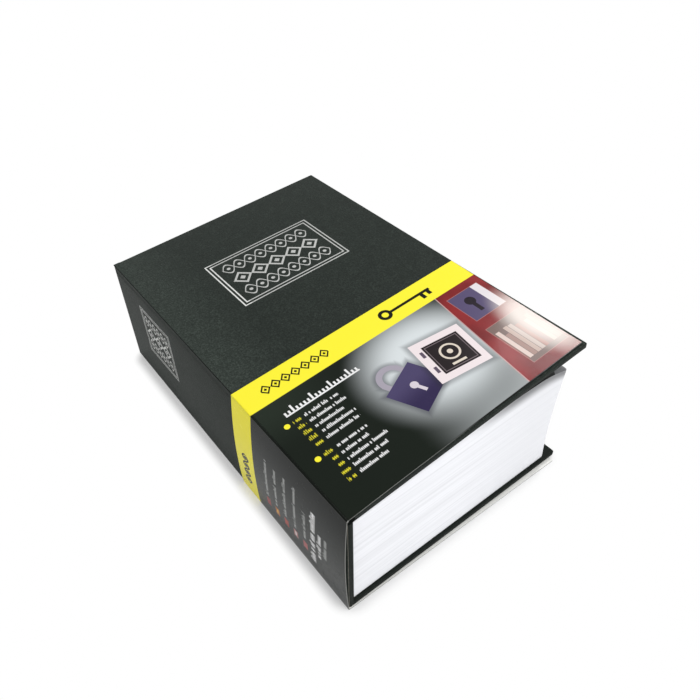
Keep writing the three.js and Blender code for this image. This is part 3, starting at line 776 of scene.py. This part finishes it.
def paint_ground(s, t):
    """The front's dark ground with a painted sheen near the fold, a pale patch, and a grey along the tail
    edge, partly print and partly painted reflection.
    """
    dark = colour_of("print_dark")
    on_front = (0 - s).inside(0.15)
    halo = reach((s - 68) / 39, (t + 58) / 35)
    # Painted sheen: the dark ground is lighter near the fold, towards the band
    ground = shades(t.ramp(-58, -36) * s.ramp(40, 5), dark, 1, 2.0)
    colour = mix(halo.ramp(0.36, 0.98, 1.0, 0.0) * on_front, ground, colour_of("glow"))
    # Partly print and partly painted reflection: a grey near the tail edge at the fore end
    tail_grey_and_reflection = halo.ramp(0.4, 1.1) * (t + 56).ramp(0, -20) * (s - 37).ramp(0, 33)
    return mix(tail_grey_and_reflection * on_front * 0.85, colour, display(172, 177, 178))


def paint_panel(colour, place, s, t):
    """The panel at the fore edge, with its two pictures and a painted glare over them."""
    panel = colour_of("panel")
    boundary = (s - 91.5) - (t + 36) * 0.13
    colour = painted(colour, abs(boundary) - 0.45, 196, 160, 158, softness=0.15)
    on_panel = (0 - boundary).inside(0.1)
    wash = place.noise(0.06, 2).ramp(0.35, 0.7)
    colour = mix(on_panel, colour, shades(wash, panel, 0.8, 1.25))
    colour = paint_insets(colour, s, t)
    # Painted reflection: a pale glare over the panel's fore corner
    painted_glare = reach((s - 112.5) / 15, (t + 71) / 28).ramp(0.3, 1.0, 0.8, 0.0)
    return mix(painted_glare * on_panel, colour, display(250, 240, 232))


def paint_front_rows(colour, s, t):
    """A ruler, and two groups of rows that stand for words, each with a dot and a column of labels."""
    tick, long_tick = 1.72, 8.6
    tall = (abs(s.repeated(long_tick)) - 0.9).inside(0.1) * 1.9 + 1.5
    ruler = (abs(s.repeated(tick)) - 0.42).most(t + 43.1 - tall).most(-43.1 - t)
    ruler = ruler.least(block(s, t, (26, -43.5), (17, 0.35))).most(abs(s - 26) - 17)
    colour = mix(ruler.inside(), colour, PRINT_WHITE)
    yellow = colour_of("band")
    for number, top in enumerate((-47.4, -65.8)):
        words = small_print(s, top - t, 3.7 + number, (14.4, 33), 5, FRONT_PITCH, 1.3)
        labels = small_print(s, top - t, 8.9 + number, (9.4, 14.2), 5, FRONT_PITCH, 1.5, 0.11)
        colour = mix(words, colour, PRINT_WHITE)
        colour = mix(labels * (s < 12.9) * 0.9, colour, shade(yellow, 0.85))
        colour = mix(disc(s, t, (6.8, top + 0.1), 1.15).inside(), colour, yellow)
    return colour


def paint_spine(z, t):
    """The sleeve's spine: rows with a swatch each, and three bolder rows at the tail. z is the height."""
    base = colour_of("print_spine")
    colour = shades(z.ramp(30, 54), base, 1.2, 0.7)
    across = -43.2 - t
    rows = small_print(z, across, 5.3, (17, 43), 5, SPINE_PITCH, 1.7, 0.12)
    colour = mix(rows * 0.8, colour, PRINT_GREY)
    row = (across / SPINE_PITCH + 0.5).floor()
    swatch = block(z, across - row * SPINE_PITCH, (12.8, 0), (2.3, 1.35)).most(abs(row - 2) - 2.5)
    tint = ((row + 0.5) / 5).tinted(
        (0.1, display(140, 70, 84)), (0.3, display(226, 178, 52)), (0.5, display(176, 74, 58)),
        (0.7, display(222, 214, 212)), (0.9, display(204, 150, 152)),
    )
    colour = mix(swatch.inside(), colour, tint)
    colour = painted(colour, abs(swatch + 0.45) - 0.45, 150, 48, 46, strength=0.75)
    last_rows = (
        (-73.4, 1.2, (8, 60), 2.9, 0.15, 41, PRINT_WHITE, 1),
        (-77.4, 2.6, (16, 40), 2.1, 0.14, 31.5, PRINT_WHITE, 1),
        (-80.8, 6.2, (17, 42), 1.8, 0.15, 32.5, PRINT_GREY, 0.7),
    )
    for top, seed, span, size, weight, end, ink, strength in last_rows:
        words = small_print(z, top - t, seed, span, 1, 4, size, weight) * (z < end)
        colour = mix(words * strength, colour, ink)
    return colour


def paint_band(colour, s, z, t):
    """The band along the sleeve's head edge, with its marks."""
    colour = mix((-34.1 - t).inside(0.12), colour, colour_of("band"))
    mark = lozenges(s - 10.6, t + 27.3, 4.6, 1.9, 2.2, 0.22).most(abs(s - 24.4) - 15.8)
    mark = mark.least(key_outline(s - 70, t + 27.2))
    mark = mark.least(braid(z - 18, t + 27.6, 2.0, 4.9, 0.6).most(abs(z - 18) - 9.8))
    return painted(colour, mark, 26, 26, 20)


def printed_card(start):
    """The printed and laminated side of the sleeve."""
    s, t, _ = sheet_place(start).parts()
    z = s + SPINE_HEIGHT / MM
    place = solid_place(start)
    colour = paint_panel(paint_ground(s, t), place, s, t)
    # Painted shade: the dark ground is darkened along the fold
    fold_shade = abs(s - 0.2).ramp(0.1, 0.4, 1.0, 0.0)
    colour = mix(fold_shade * 0.8, colour, shade(colour_of("print_dark"), 0.2))
    colour = paint_padlock(colour, s, t)
    colour = paint_strongbox(colour, s, t)
    colour = paint_front_rows(colour, s, t)
    on_spine = (s + 0.2).inside(0.2)
    colour = mix(on_spine * (0 - z).inside(0.2), colour, paint_spine(z, t))
    colour = mix((z + 0.2).inside(0.2), colour, shade(colour_of("print_spine"), 0.8))
    # Painted shadow: a thin black line along the front's tail edge, away from the spine
    tail_shadow_line = (0 - t - 0.007 * s).ramp(89.85, 90.05) * s.ramp(40, 62)
    colour = paint_band(mix(tail_shadow_line, colour, SHADOW_BLACK), s, z, t)
    return {
        "Base Color": colour,
        "Roughness": place.noise(0.35, 5, 0.7).ramp(0.45, 0.75, 0.2, 0.32),
        "Normal": place.noise(0.7, 2).bump(0.012 * MM, 0.3),
        "Coat Weight": 0.04 - on_spine * 0.04,
        "Coat Roughness": 0.08,
        **DARK_SHEEN,
    }


def powder_coat(start):
    """Black powder coat with fine orange peel."""
    place = solid_place(start)
    peel = place.noise(1.5, 3, 0.6)
    dust = place.noise(0.1, 4, 0.7)
    base = colour_of("paint")
    colour = shades(dust.ramp(0.35, 0.75), base, 1, 1.5)
    rough = peel.ramp(0.3, 0.7, 0.32, 0.46)
    return {"Base Color": colour, "Roughness": rough, "Normal": peel.bump(0.05 * MM, 0.8)}


def metal(start, colour_name, roughness, drawn=(1.0, 1.0, 1.0), scratch=0.5):
    """Bare or plated metal with fine marks drawn out along one way."""
    place = solid_place(start)
    marks = place.stretched(*drawn).noise(2.2, 4, 0.7)
    clouds = place.noise(0.25, 3, 0.6)
    base = colour_of(colour_name)
    colour = shades(clouds.ramp(0.35, 0.7), base, 0.82)
    rough = marks.ramp(0.3, 0.7, roughness * 0.75, roughness * 1.3)
    relief = marks.bump(0.01 * MM, scratch)
    return {"Base Color": colour, "Metallic": 1.0, "Roughness": rough, "Normal": relief}


FINISHES = {
    "leather_paper": (leather_paper,),
    "leaf_paper": (leaf_paper,),
    "black_paper": (plain_paper, "top_leaf"),
    "lining_paper": (plain_paper, "endpaper"),
    "grey_board": (grey_board,),
    "printed_card": (printed_card,),
    "white_card": (bare_card,),
    "cut_card": (cut_card,),
    "powder_coat": (powder_coat,),
    "zinc_steel": (metal, "steel", 0.34),
    "bright_chrome": (metal, "chrome", 0.13, (1, 1, 1), 0.2),
    "stamped_brass": (metal, "brass", 0.32, (0.3, 3, 1), 0.6),
    "brushed_nickel": (metal, "nickel", 0.28, (3, 0.2, 1), 0.7),
}
METAL_FINISHES = {
    "painted_steel": "powder_coat", "plain_steel": "zinc_steel", "lock_chrome": "bright_chrome",
    "key_nickel": "brushed_nickel",
}


def material_of(finish):
    """A finish's material, made once and shared by the pieces that have it."""
    made = bpy.data.materials.get(finish)
    if made:
        return made
    material, start = start_material(finish)
    make, *settings = FINISHES[finish]
    surface = start.node("ShaderNodeBsdfPrincipled", sockets=make(start, *settings))
    start.node("ShaderNodeOutputMaterial", sockets={"Surface": surface})
    return material


# Pieces

class BOOKSAFE_OT_case(bpy.types.Operator):
    """Covers the back board and the spine board with one piece of leather-grain paper."""

    bl_idname = "book_safe.case"
    bl_label = "Back and spine covering"

    def execute(self, context):
        sizes = context.scene.book_safe_sizes
        low, outside = BACK_LOW.z, BACK_HIGH.x
        inside, top = BOARD_HIGH.z + TURN_IN, BOARD_HIGH.x + TURN_IN * 2
        floor = BACK_HIGH.z + TURN_IN
        strip_end, strip_lap = HALF_LENGTH - 1 * MM, 0.45 * MM
        mesh = bmesh.new()
        profile = [(0, low), (outside, low), (outside, floor), (top, floor), (top, inside), (0, inside)]
        profile_bar(mesh, profile, HALF_LENGTH)
        corners = uprights(
            mesh, lambda c: abs(c.y) > strip_end and (c.x < TOUCH or c.x > outside - TOUCH)
        )
        round_edges(mesh, corners, sizes.back_corner)
        round_edges(mesh, rims(mesh, lambda c: c.z < inside - TOUCH), sizes.cover_edge, 2)
        box(mesh, (0, -strip_end, inside - strip_lap), (sizes.paper, strip_end, SPINE_HEIGHT))
        unroll(mesh, spine_sheet)
        finish_piece(
            "case_paper", mesh, BOOK, "book", ["leather_paper"],
            ["cover_paper_back", "cover_paper_spine"],
        )
        return {"FINISHED"}


class BOOKSAFE_OT_front_cover(bpy.types.Operator):
    """Makes the front cover's leather-grain paper and the strip of it that bends at the hinge."""

    bl_idname = "book_safe.front_cover"
    bl_label = "Front cover and joint"

    def execute(self, context):
        sizes = context.scene.book_safe_sizes
        strip = bmesh.new()
        box(strip, (0, -HALF_LENGTH, -sizes.paper), (JOINT_WIDTH, HALF_LENGTH, 0))
        under = [v for v in strip.verts if v.co.x > 0 and v.co.z < 0]
        bmesh.ops.translate(strip, vec=(-JOINT_SLANT, 0, 0), verts=under)
        unroll(strip, cover_sheet)
        finish_piece(
            "joint_paper", strip, COVER, "joint_strip", ["leather_paper"],
            ["cover_paper_joint"],
        )
        mesh = bmesh.new()
        box(mesh, (JOINT_WIDTH, -HALF_LENGTH, COVER_UNDERSIDE), (FRONT_EDGE, HALF_LENGTH, 0))
        round_edges(mesh, uprights(mesh, lambda c: c.x > FRONT_EDGE - TOUCH), sizes.front_corner)
        round_edges(mesh, rims(mesh, lambda c: c.x > JOINT_WIDTH + TOUCH), sizes.cover_edge, 2)
        unroll(mesh, cover_sheet)
        finish_piece(
            "front_cover_paper", mesh, COVER, "cover", ["leather_paper"],
            ["cover_paper_front"],
        )
        return {"FINISHED"}


class BOOKSAFE_OT_boards(bpy.types.Operator):
    """Finishes the boards inside the covers and the papers that line them."""

    bl_idname = "book_safe.boards"
    bl_label = "Boards and linings"

    def execute(self, context):
        dress("grey_board", "back_board", "spine_board", "front_board")
        dress("lining_paper", "back_lining", "front_lining")
        return {"FINISHED"}


class BOOKSAFE_OT_pages(bpy.types.Operator):
    """Stacks the leaves of the page block round the steel box. The upper ones swell under the cover."""

    bl_idname = "book_safe.pages"
    bl_label = "Page block"

    fore = TRAY_HIGH.x + 0.3 * MM
    pocket = TRAY_HIGH.y + 0.3 * MM

    def execute(self, context):
        sizes = context.scene.book_safe_sizes
        draw = Random(sizes.leaf_seed)
        flat = self.stacked(sizes, draw, PAGES_LOW.z, SWELL_START)
        self.finish_stack("leaves", flat)
        upper = self.stacked(sizes, draw, SWELL_START, PAGES_HIGH.z)
        self.swollen(upper)
        piece = self.finish_stack("upper_leaves", upper)
        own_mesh(piece)
        return {"FINISHED"}

    @staticmethod
    def finish_stack(name, mesh):
        finishes = ["leaf_paper", "black_paper"]
        return finish_piece(name, mesh, BOOK, "book", finishes, ["page_block"], 30)

    def stacked(self, sizes, draw, bottom, top_level):
        """Stacks bunches of leaves between two heights, each lying back a little from the cut edges."""
        start, end = PAGES_LOW.x, PAGES_HIGH.y
        mesh = bmesh.new()
        outline = [
            (start, -end), (PAGES_HIGH.x, -end), (PAGES_HIGH.x, end), (start, end),
            (start, self.pocket), (self.fore, self.pocket), (self.fore, -self.pocket), (start, -self.pocket),
        ]
        mesh.faces.new([mesh.verts.new((x, y, bottom)) for x, y in outline])
        corners = [v for v in mesh.verts if v.co.x > self.fore + MM]
        bmesh.ops.bevel(
            mesh, geom=corners, offset=sizes.page_corner, segments=6, profile=0.5, affect="VERTICES",
            material=-1,
        )
        top = next(iter(mesh.faces))
        level, shifts = bottom, Vector((0, 0, 0))
        middle = (PAGES_LOW.z + PAGES_HIGH.z) / 2
        half = PAGES_HIGH.z - middle
        while level < top_level:
            step = draw.uniform(sizes.leaf_thin, sizes.leaf_thick)
            if top_level - level - step < sizes.leaf_thin:
                step = top_level - level
            share = (level + step / 2 - middle) / half
            hollow = sizes.fore_edge_hollow * (1 - share * share)
            wanted = Vector([draw.random() * sizes.leaf_stagger for _ in range(3)]) + Vector((hollow, 0, 0))
            self.move_edges(mesh, top, wanted - shifts)
            shifts = wanted
            top = self.grown(mesh, top, step, keep=level == bottom)
            level += step
            if level < top_level - 0.001 * MM:
                top = self.grown(mesh, top, 0)
        bmesh.ops.remove_doubles(mesh, verts=mesh.verts, dist=0.002 * MM)
        bmesh.ops.dissolve_degenerate(mesh, edges=mesh.edges, dist=0.001 * MM)
        bmesh.ops.recalc_face_normals(mesh, faces=mesh.faces)
        unroll(mesh, leaf_sheet)
        return mesh

    @staticmethod
    def grown(mesh, top, step, keep=False):
        """Extrudes the top face upwards and gives the new one. The old one goes, unless it is the bottom."""
        risen = extruded(mesh, top, (0, 0, step))
        if not keep:
            mesh.faces.remove(top)
        return risen

    def move_edges(self, mesh, top, shift):
        """Moves the top face's outer edges inwards at the fore edge, the head and the tail."""
        fore_side = [v for v in top.verts if v.co.x > self.fore + MM]
        head = [v for v in top.verts if v.co.y > self.pocket + MM]
        tail = [v for v in top.verts if v.co.y < -self.pocket - MM]
        bmesh.ops.translate(mesh, vec=(-shift.x, 0, 0), verts=fore_side)
        bmesh.ops.translate(mesh, vec=(0, -shift.y, 0), verts=head)
        bmesh.ops.translate(mesh, vec=(0, shift.z, 0), verts=tail)

    @staticmethod
    def swollen(mesh):
        """Bends the upper leaves up under the cover, blackens the top one and turns up its corner."""
        place = PAGES_LOW.x + SWELL_CUT
        while place < PAGES_HIGH.x - MM:
            cut_through(mesh, (place, 0, 0), (1, 0, 0))
            place += SWELL_CUT
        corner = Vector((PAGES_HIGH.x, PAGES_LOW.y, PAGES_HIGH.z))
        inwards = Vector((-1, 1, 0)).normalized()
        for share in (0.5, 1):
            cut_through(mesh, corner + inwards * EAR * share, inwards)
        mesh.normal_update()
        for face in mesh.faces:
            from_corner = face.calc_center_median() - corner
            on_top = face.normal.z > 0.9 and from_corner.z > -TOUCH
            face.material_index = int(on_top and from_corner.dot(inwards) > EAR)
        for vertex in mesh.verts:
            share = (vertex.co.z - SWELL_START) / (PAGES_HIGH.z - SWELL_START)
            turned_up = max(0, 1 - (vertex.co - corner).dot(inwards) / EAR) if share > 0.99 else 0
            vertex.co.z = SWELL_START + share * (swell(vertex.co.x) - SWELL_START) + EAR_LIFT * turned_up


class BOOKSAFE_OT_steel_box(bpy.types.Operator):
    """Finishes the steel tray, its lid, the hinge pin and the strike bracket."""

    bl_idname = "book_safe.steel_box"
    bl_label = "Steel box"

    def execute(self, context):
        softened("tray", "steel_tray", "book", "painted_steel", 0.22)
        softened("lid", "lid_panel", "box_lid", "painted_steel", 0.22)
        softened("lid_pin", "hinge_pin", "book", "plain_steel", 0.2)
        softened("strike", "strike_bracket", "book", "plain_steel", 0.2)
        return {"FINISHED"}


class BOOKSAFE_OT_lock(bpy.types.Operator):
    """Finishes the cam lock, its wafers and its springs."""

    bl_idname = "book_safe.lock"
    bl_label = "Lock"

    def execute(self, context):
        softened("lock_body", "lock_housing", "box_lid", "lock_chrome", 0.12)
        softened("lock_ring", "lock_washer", "box_lid", "plain_steel", 0.08)
        softened("lock_hex_nut", "lock_nut", "box_lid", "plain_steel", 0.12)
        softened("key_plug", "lock_plug", "plug", "lock_chrome", 0.08)
        softened("lock_cam", "cam", "plug", "plain_steel", 0.15)
        softened("cam_ring", "cam_washer", "plug", "plain_steel", 0.08)
        softened("cam_fixing", "cam_screw", "plug", "plain_steel", 0.1)
        for number in range(1, 5):
            dress("stamped_brass", f"wafer_{number}")
            self.add_spring(number, context.scene.book_safe_sizes.spring_wire)
        return {"FINISHED"}

    @staticmethod
    def add_spring(number, wire, turns=5, steps=14):
        """Winds a wafer's spring along Y in the space that its plain solid holds."""
        node = f"wafer_spring_{number}"
        low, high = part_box(node)
        middle = (Vector(low) + Vector(high)) / 2
        across = min(high[0] - low[0], high[2] - low[2])
        length = high[1] - low[1] - wire
        mesh = bmesh.new()
        ring = bmesh.ops.create_circle(mesh, segments=8, radius=wire / 2)
        bmesh.ops.translate(mesh, vec=((across - wire) / 2, 0, 0), verts=ring["verts"])
        count = turns * steps
        bmesh.ops.spin(
            mesh, geom=mesh.verts[:] + mesh.edges[:], cent=(0, 0, 0), axis=(0, 0, 1),
            dvec=(0, 0, length / count), angle=2 * pi * turns, steps=count, use_duplicate=False,
        )
        bmesh.ops.holes_fill(mesh, edges=[edge for edge in mesh.edges if edge.is_boundary], sides=8)
        bmesh.ops.recalc_face_normals(mesh, faces=mesh.faces)
        place = Matrix.Translation((middle.x, low[1] + wire / 2, middle.z)) @ Matrix.Rotation(-pi / 2, 4, "X")
        finish_piece(f"spring_{number}", mesh, place, "plug", ["zinc_steel"], [node], 60)


class BOOKSAFE_OT_keys(bpy.types.Operator):
    """Finishes the two keys."""

    bl_idname = "book_safe.keys"
    bl_label = "Keys"

    def execute(self, context):
        softened("key_a", "key_1", "first_key", "key_nickel", 0.12)
        softened("key_b", "key_2", "second_key", "key_nickel", 0.12)
        return {"FINISHED"}


def on_sleeve(head, tail, share):
    """A place along the book from the sleeve's tail edge to its head edge, and the same on the flat sheet."""
    y = tail + share * (head - tail)
    return y, y - head + SLEEVE_HEAD


def on_sleeve_front(u, share):
    """The same on the front, whose edges slant across the cover."""
    head = SLEEVE_HEAD + HEAD_SLANT_FRONT * u / BOOK_WIDTH
    tail = SLEEVE_TAIL + TAIL_SLANT_FRONT * u / BOOK_WIDTH
    return on_sleeve(head, tail, share)


class BOOKSAFE_OT_sleeve(bpy.types.Operator):
    """Wraps the printed card sleeve round the tail of the book."""

    bl_idname = "book_safe.sleeve"
    bl_label = "Card sleeve"

    finishes = ("printed_card", "white_card", "cut_card")
    back_bend = 0.7 * MM
    rows = 18

    def execute(self, context):
        sizes = context.scene.book_safe_sizes
        outside = sizes.card + CARD_GAP

        # Each panel gives a point and its place on the sheet, from its shares across and along the panel
        def front(a, b):
            u = JOINT_WIDTH + a * (BOOK_WIDTH - FRONT_SHORT * (1 - b) - JOINT_WIDTH)
            y, t = on_sleeve_front(u, b)
            lift = sizes.front_lift * 16 * a * (1 - a) * b * (1 - b)
            lift += sizes.tail_lift * (1 - b) ** 6 * min(1, 6 * a)
            return Vector((u, y, outside + lift)), (u, t)

        def fold(a, b):
            u = FOLD_ROOM + a * (JOINT_WIDTH - FOLD_ROOM)
            y, t = on_sleeve_front(u, b)
            return Vector((u, y, outside)), (u, t)

        def wrap(a, b):
            return self.wrapped(path[round(a * (len(path) - 1))], b, outside, sizes.spine_bow)

        path = self.wrap_path()
        self.add_panel("sleeve_print_front", 30, front, COVER, "sleeve_face", ["sleeve_front"], (0, 0, 1))
        self.add_panel("sleeve_print_fold", 2, fold, COVER, "sleeve_edge", ["sleeve_fold"], (0, 0, 1))
        self.add_panel(
            "sleeve_print_wrap", len(path) - 1, wrap, BOOK, "sleeve", ["sleeve_spine", "sleeve_back"],
            (-1, 0, 0),
        )
        self.add_bead(outside + BEAD_STAND)
        return {"FINISHED"}

    def wrap_path(self):
        """Places down the spine, round its lower edge and across the back, measured from the hinge line."""
        bend = self.back_bend
        spine = SPINE_HEIGHT - bend - FOLD_ROOM
        back = BOOK_WIDTH - BACK_SHORT - bend
        spine_steps, bend_steps, back_steps = 16, 4, 12
        path = [FOLD_ROOM + spine * step / spine_steps for step in range(spine_steps + 1)]
        path += [SPINE_HEIGHT - bend + 2 * bend * step / bend_steps for step in range(1, bend_steps)]
        return path + [SPINE_HEIGHT + bend + back * step / back_steps for step in range(back_steps + 1)]

    def wrapped(self, s, share, outside, bow):
        """The point of the spine or the back panel at a distance from the hinge line."""
        down = min(1, s / SPINE_HEIGHT)
        over = max(0, s - SPINE_HEIGHT) / (BOOK_WIDTH - BACK_SHORT)
        head = SLEEVE_HEAD + HEAD_SLANT_SPINE * down + HEAD_SLANT_BACK * over
        y, t = on_sleeve(head, SLEEVE_TAIL + TAIL_SLANT_BACK * over, share)
        bend, half_height = self.back_bend, SPINE_HEIGHT / 2
        z = SPINE_HEIGHT - s
        if z >= bend:
            height = (z - half_height) / half_height
            spot = Vector((-outside - bow * (1 - height * height), y, z))
        elif s < SPINE_HEIGHT + bend:
            turn = (s - SPINE_HEIGHT + bend) / (2 * bend) * pi / 2
            spot = Vector((bend - outside - bend * cos(turn), y, bend - bend * sin(turn)))
        else:
            spot = Vector((s - SPINE_HEIGHT, y, 0))
        return spot, (-s, t)

    def add_panel(self, name, columns, shape, place, body, replaced, facing):
        """Bends a grid into one panel of the sleeve and gives it the card's thickness."""
        mesh = bmesh.new()
        layer = mesh.loops.layers.uv.new(SHEET)
        bmesh.ops.create_grid(mesh, x_segments=columns, y_segments=self.rows, size=0.5)
        spots = {v: shape(v.co.x + 0.5, v.co.y + 0.5) for v in mesh.verts}
        for face in mesh.faces:
            for loop in face.loops:
                loop[layer].uv = spots[loop.vert][1]
        for vertex, (spot, _) in spots.items():
            vertex.co = spot
        mesh.normal_update()
        at_hinge = min(mesh.faces, key=lambda face: abs(spots[face.verts[0]][1][0]))
        if at_hinge.normal.dot(Vector(facing)) < 0:
            bmesh.ops.reverse_faces(mesh, faces=mesh.faces)
        piece = finish_piece(name, mesh, place, body, self.finishes, replaced, 50)
        card = piece.modifiers.new("card", "SOLIDIFY")
        card.thickness = bpy.context.scene.book_safe_sizes.card
        card.offset = -1
        card.material_offset = 1
        card.material_offset_rim = 2

    def add_bead(self, radius):
        """Adds the card's rounded fold along the hinge line, which fits it at every angle of the cover."""
        mesh = bmesh.new()
        made = bmesh.ops.create_cone(
            mesh, cap_ends=True, segments=24, radius1=radius, radius2=radius, depth=SLEEVE_HEAD - SLEEVE_TAIL
        )["verts"]
        bmesh.ops.rotate(mesh, cent=(0, 0, 0), matrix=Matrix.Rotation(pi / 2, 3, "X"), verts=made)
        bmesh.ops.translate(mesh, vec=(0, (SLEEVE_HEAD + SLEEVE_TAIL) / 2, SPINE_HEIGHT), verts=made)
        unroll(mesh, lambda normal, place: (0, place.y))
        for face in mesh.faces:
            face.material_index = 2 if abs(face.normal.y) > 0.5 else 0
        finish_piece("sleeve_print_bead", mesh, BOOK, "sleeve", self.finishes)


class BOOKSAFE_OT_stage(bpy.types.Operator):
    """Adds the floor, the lights, the white surroundings and the camera."""

    bl_idname = "book_safe.stage"
    bl_label = "Stage"

    camera_place = Vector((-125.038, -180.696, 225.753)) * MM
    camera_aim = Vector((10.61, -4.02, 30)) * MM
    camera_roll = -0.81
    camera_lens = 33.27
    lamp_aim = Vector((0, 0, 30)) * MM
    floor_half = 4.0
    covered_half = (51, 83)
    surroundings_light = 0.6

    def execute(self, context):
        scene = context.scene
        scene.view_settings.view_transform = "Standard"
        self.add_floor()
        self.add_surroundings(scene)
        self.add_lamp("overhead", (0.1, -0.25, 1.0), 0.9, 2.4)
        self.add_lamp("tail_side", (0.35, -0.95, 0.45), 0.7, 4.2)
        self.add_lamp("behind", (0.78, 0.45, 0.98), 0.2, 4.0)
        self.add_camera(scene)
        return {"FINISHED"}

    def add_floor(self):
        mesh = bmesh.new()
        bmesh.ops.create_grid(mesh, x_segments=8, y_segments=8, size=self.floor_half)
        data = bpy.data.meshes.new("floor")
        mesh.to_mesh(data)
        mesh.free()
        data.materials.append(self.floor_paper())
        floor = linked("floor", data)
        floor.location.z = CAD_BOX[0][2] - 0.02 * MM

    @staticmethod
    def seen(start):
        """1 for the rays that see the background, straight or in a reflection."""
        rays = start.node("ShaderNodeLightPath")
        outputs = rays.socket.node.outputs
        camera, glossy, through = (Field(start.tree, outputs[name]) for name in (
            "Is Camera Ray", "Is Glossy Ray", "Is Transmission Ray",
        ))
        return camera.most(glossy).most(through)

    def floor_paper(self):
        """White paper that keeps the shadow near the book and is plain white further out."""
        material, start = start_material("floor_paper")
        place = solid_place(start)
        x, y, _ = place.parts()
        half_x, half_y = self.covered_half
        away = reach((abs(x) - half_x).most(0), (abs(y) - half_y).most(0))
        paper = mix(place.noise(0.02, 2), (0.86, 0.86, 0.86), (0.88, 0.88, 0.88))
        lit = start.node("ShaderNodeBsdfDiffuse", sockets={"Color": paper})
        white = start.node("ShaderNodeEmission", sockets={"Color": (1, 1, 1, 1), "Strength": 1.0})
        share = away.ramp(6.5, 12, 0.3, 1.0) * self.seen(start)
        surface = start.node("ShaderNodeMixShader", sockets={0: share, 1: lit, 2: white})
        start.node("ShaderNodeOutputMaterial", sockets={"Surface": surface})
        return material

    def add_surroundings(self, scene):
        world = bpy.data.worlds.new("surroundings")
        world.use_nodes = True
        world.node_tree.nodes.clear()
        start = Field(world.node_tree)
        light = self.surroundings_light
        strength = self.seen(start) * (1 - light) + light
        surface = start.node("ShaderNodeBackground", sockets={"Color": (1, 1, 1, 1), "Strength": strength})
        start.node("ShaderNodeOutputWorld", sockets={"Surface": surface})
        scene.world = world

    def add_lamp(self, name, place, size, power):
        """Adds a square soft box that faces the middle of the book."""
        data = bpy.data.lights.new(name, "AREA")
        data.size = size
        data.energy = power
        lamp = linked(name, data)
        lamp.location = place
        lamp.rotation_euler = (self.lamp_aim - Vector(place)).to_track_quat("-Z", "Y").to_euler()

    def add_camera(self, scene):
        data = bpy.data.cameras.new("camera")
        data.lens = self.camera_lens
        data.sensor_fit = "HORIZONTAL"
        data.clip_start = 0.01
        camera = linked("camera", data)
        camera.location = self.camera_place
        turn = (self.camera_aim - self.camera_place).to_track_quat("-Z", "Y").to_matrix()
        roll = Matrix.Rotation(radians(self.camera_roll), 3, "Z")
        camera.rotation_euler = (turn @ roll).to_euler()
        scene.camera = camera


STEPS = (
    BOOKSAFE_OT_case, BOOKSAFE_OT_front_cover, BOOKSAFE_OT_boards, BOOKSAFE_OT_pages, BOOKSAFE_OT_steel_box,
    BOOKSAFE_OT_lock, BOOKSAFE_OT_keys, BOOKSAFE_OT_sleeve, BOOKSAFE_OT_stage,
)


class BOOKSAFE_PT_panel(bpy.types.Panel):
    """Lists the pieces of the book safe in the sidebar."""

    bl_idname = "BOOKSAFE_PT_panel"
    bl_label = "Book safe"
    bl_space_type = "VIEW_3D"
    bl_region_type = "UI"
    bl_category = "Book safe"

    def draw(self, context):
        for step in STEPS:
            self.layout.operator(step.bl_idname)
        for settings in (context.scene.book_safe_sizes, context.scene.book_safe_colours):
            for name in settings.__annotations__:
                self.layout.prop(settings, name)


CLASSES = (BookSafeSizes, BookSafeColours, *STEPS, BOOKSAFE_PT_panel)


def register():
    for each in CLASSES:
        bpy.utils.register_class(each)
    bpy.types.Scene.book_safe_sizes = PointerProperty(type=BookSafeSizes)
    bpy.types.Scene.book_safe_colours = PointerProperty(type=BookSafeColours)


def unregister():
    del bpy.types.Scene.book_safe_colours
    del bpy.types.Scene.book_safe_sizes
    for each in reversed(CLASSES):
        bpy.utils.unregister_class(each)


def main():
    register()
    for step in STEPS:
        group, name = step.bl_idname.split(".")
        getattr(getattr(bpy.ops, group), name)()


if __name__ == "__main__":
    main()
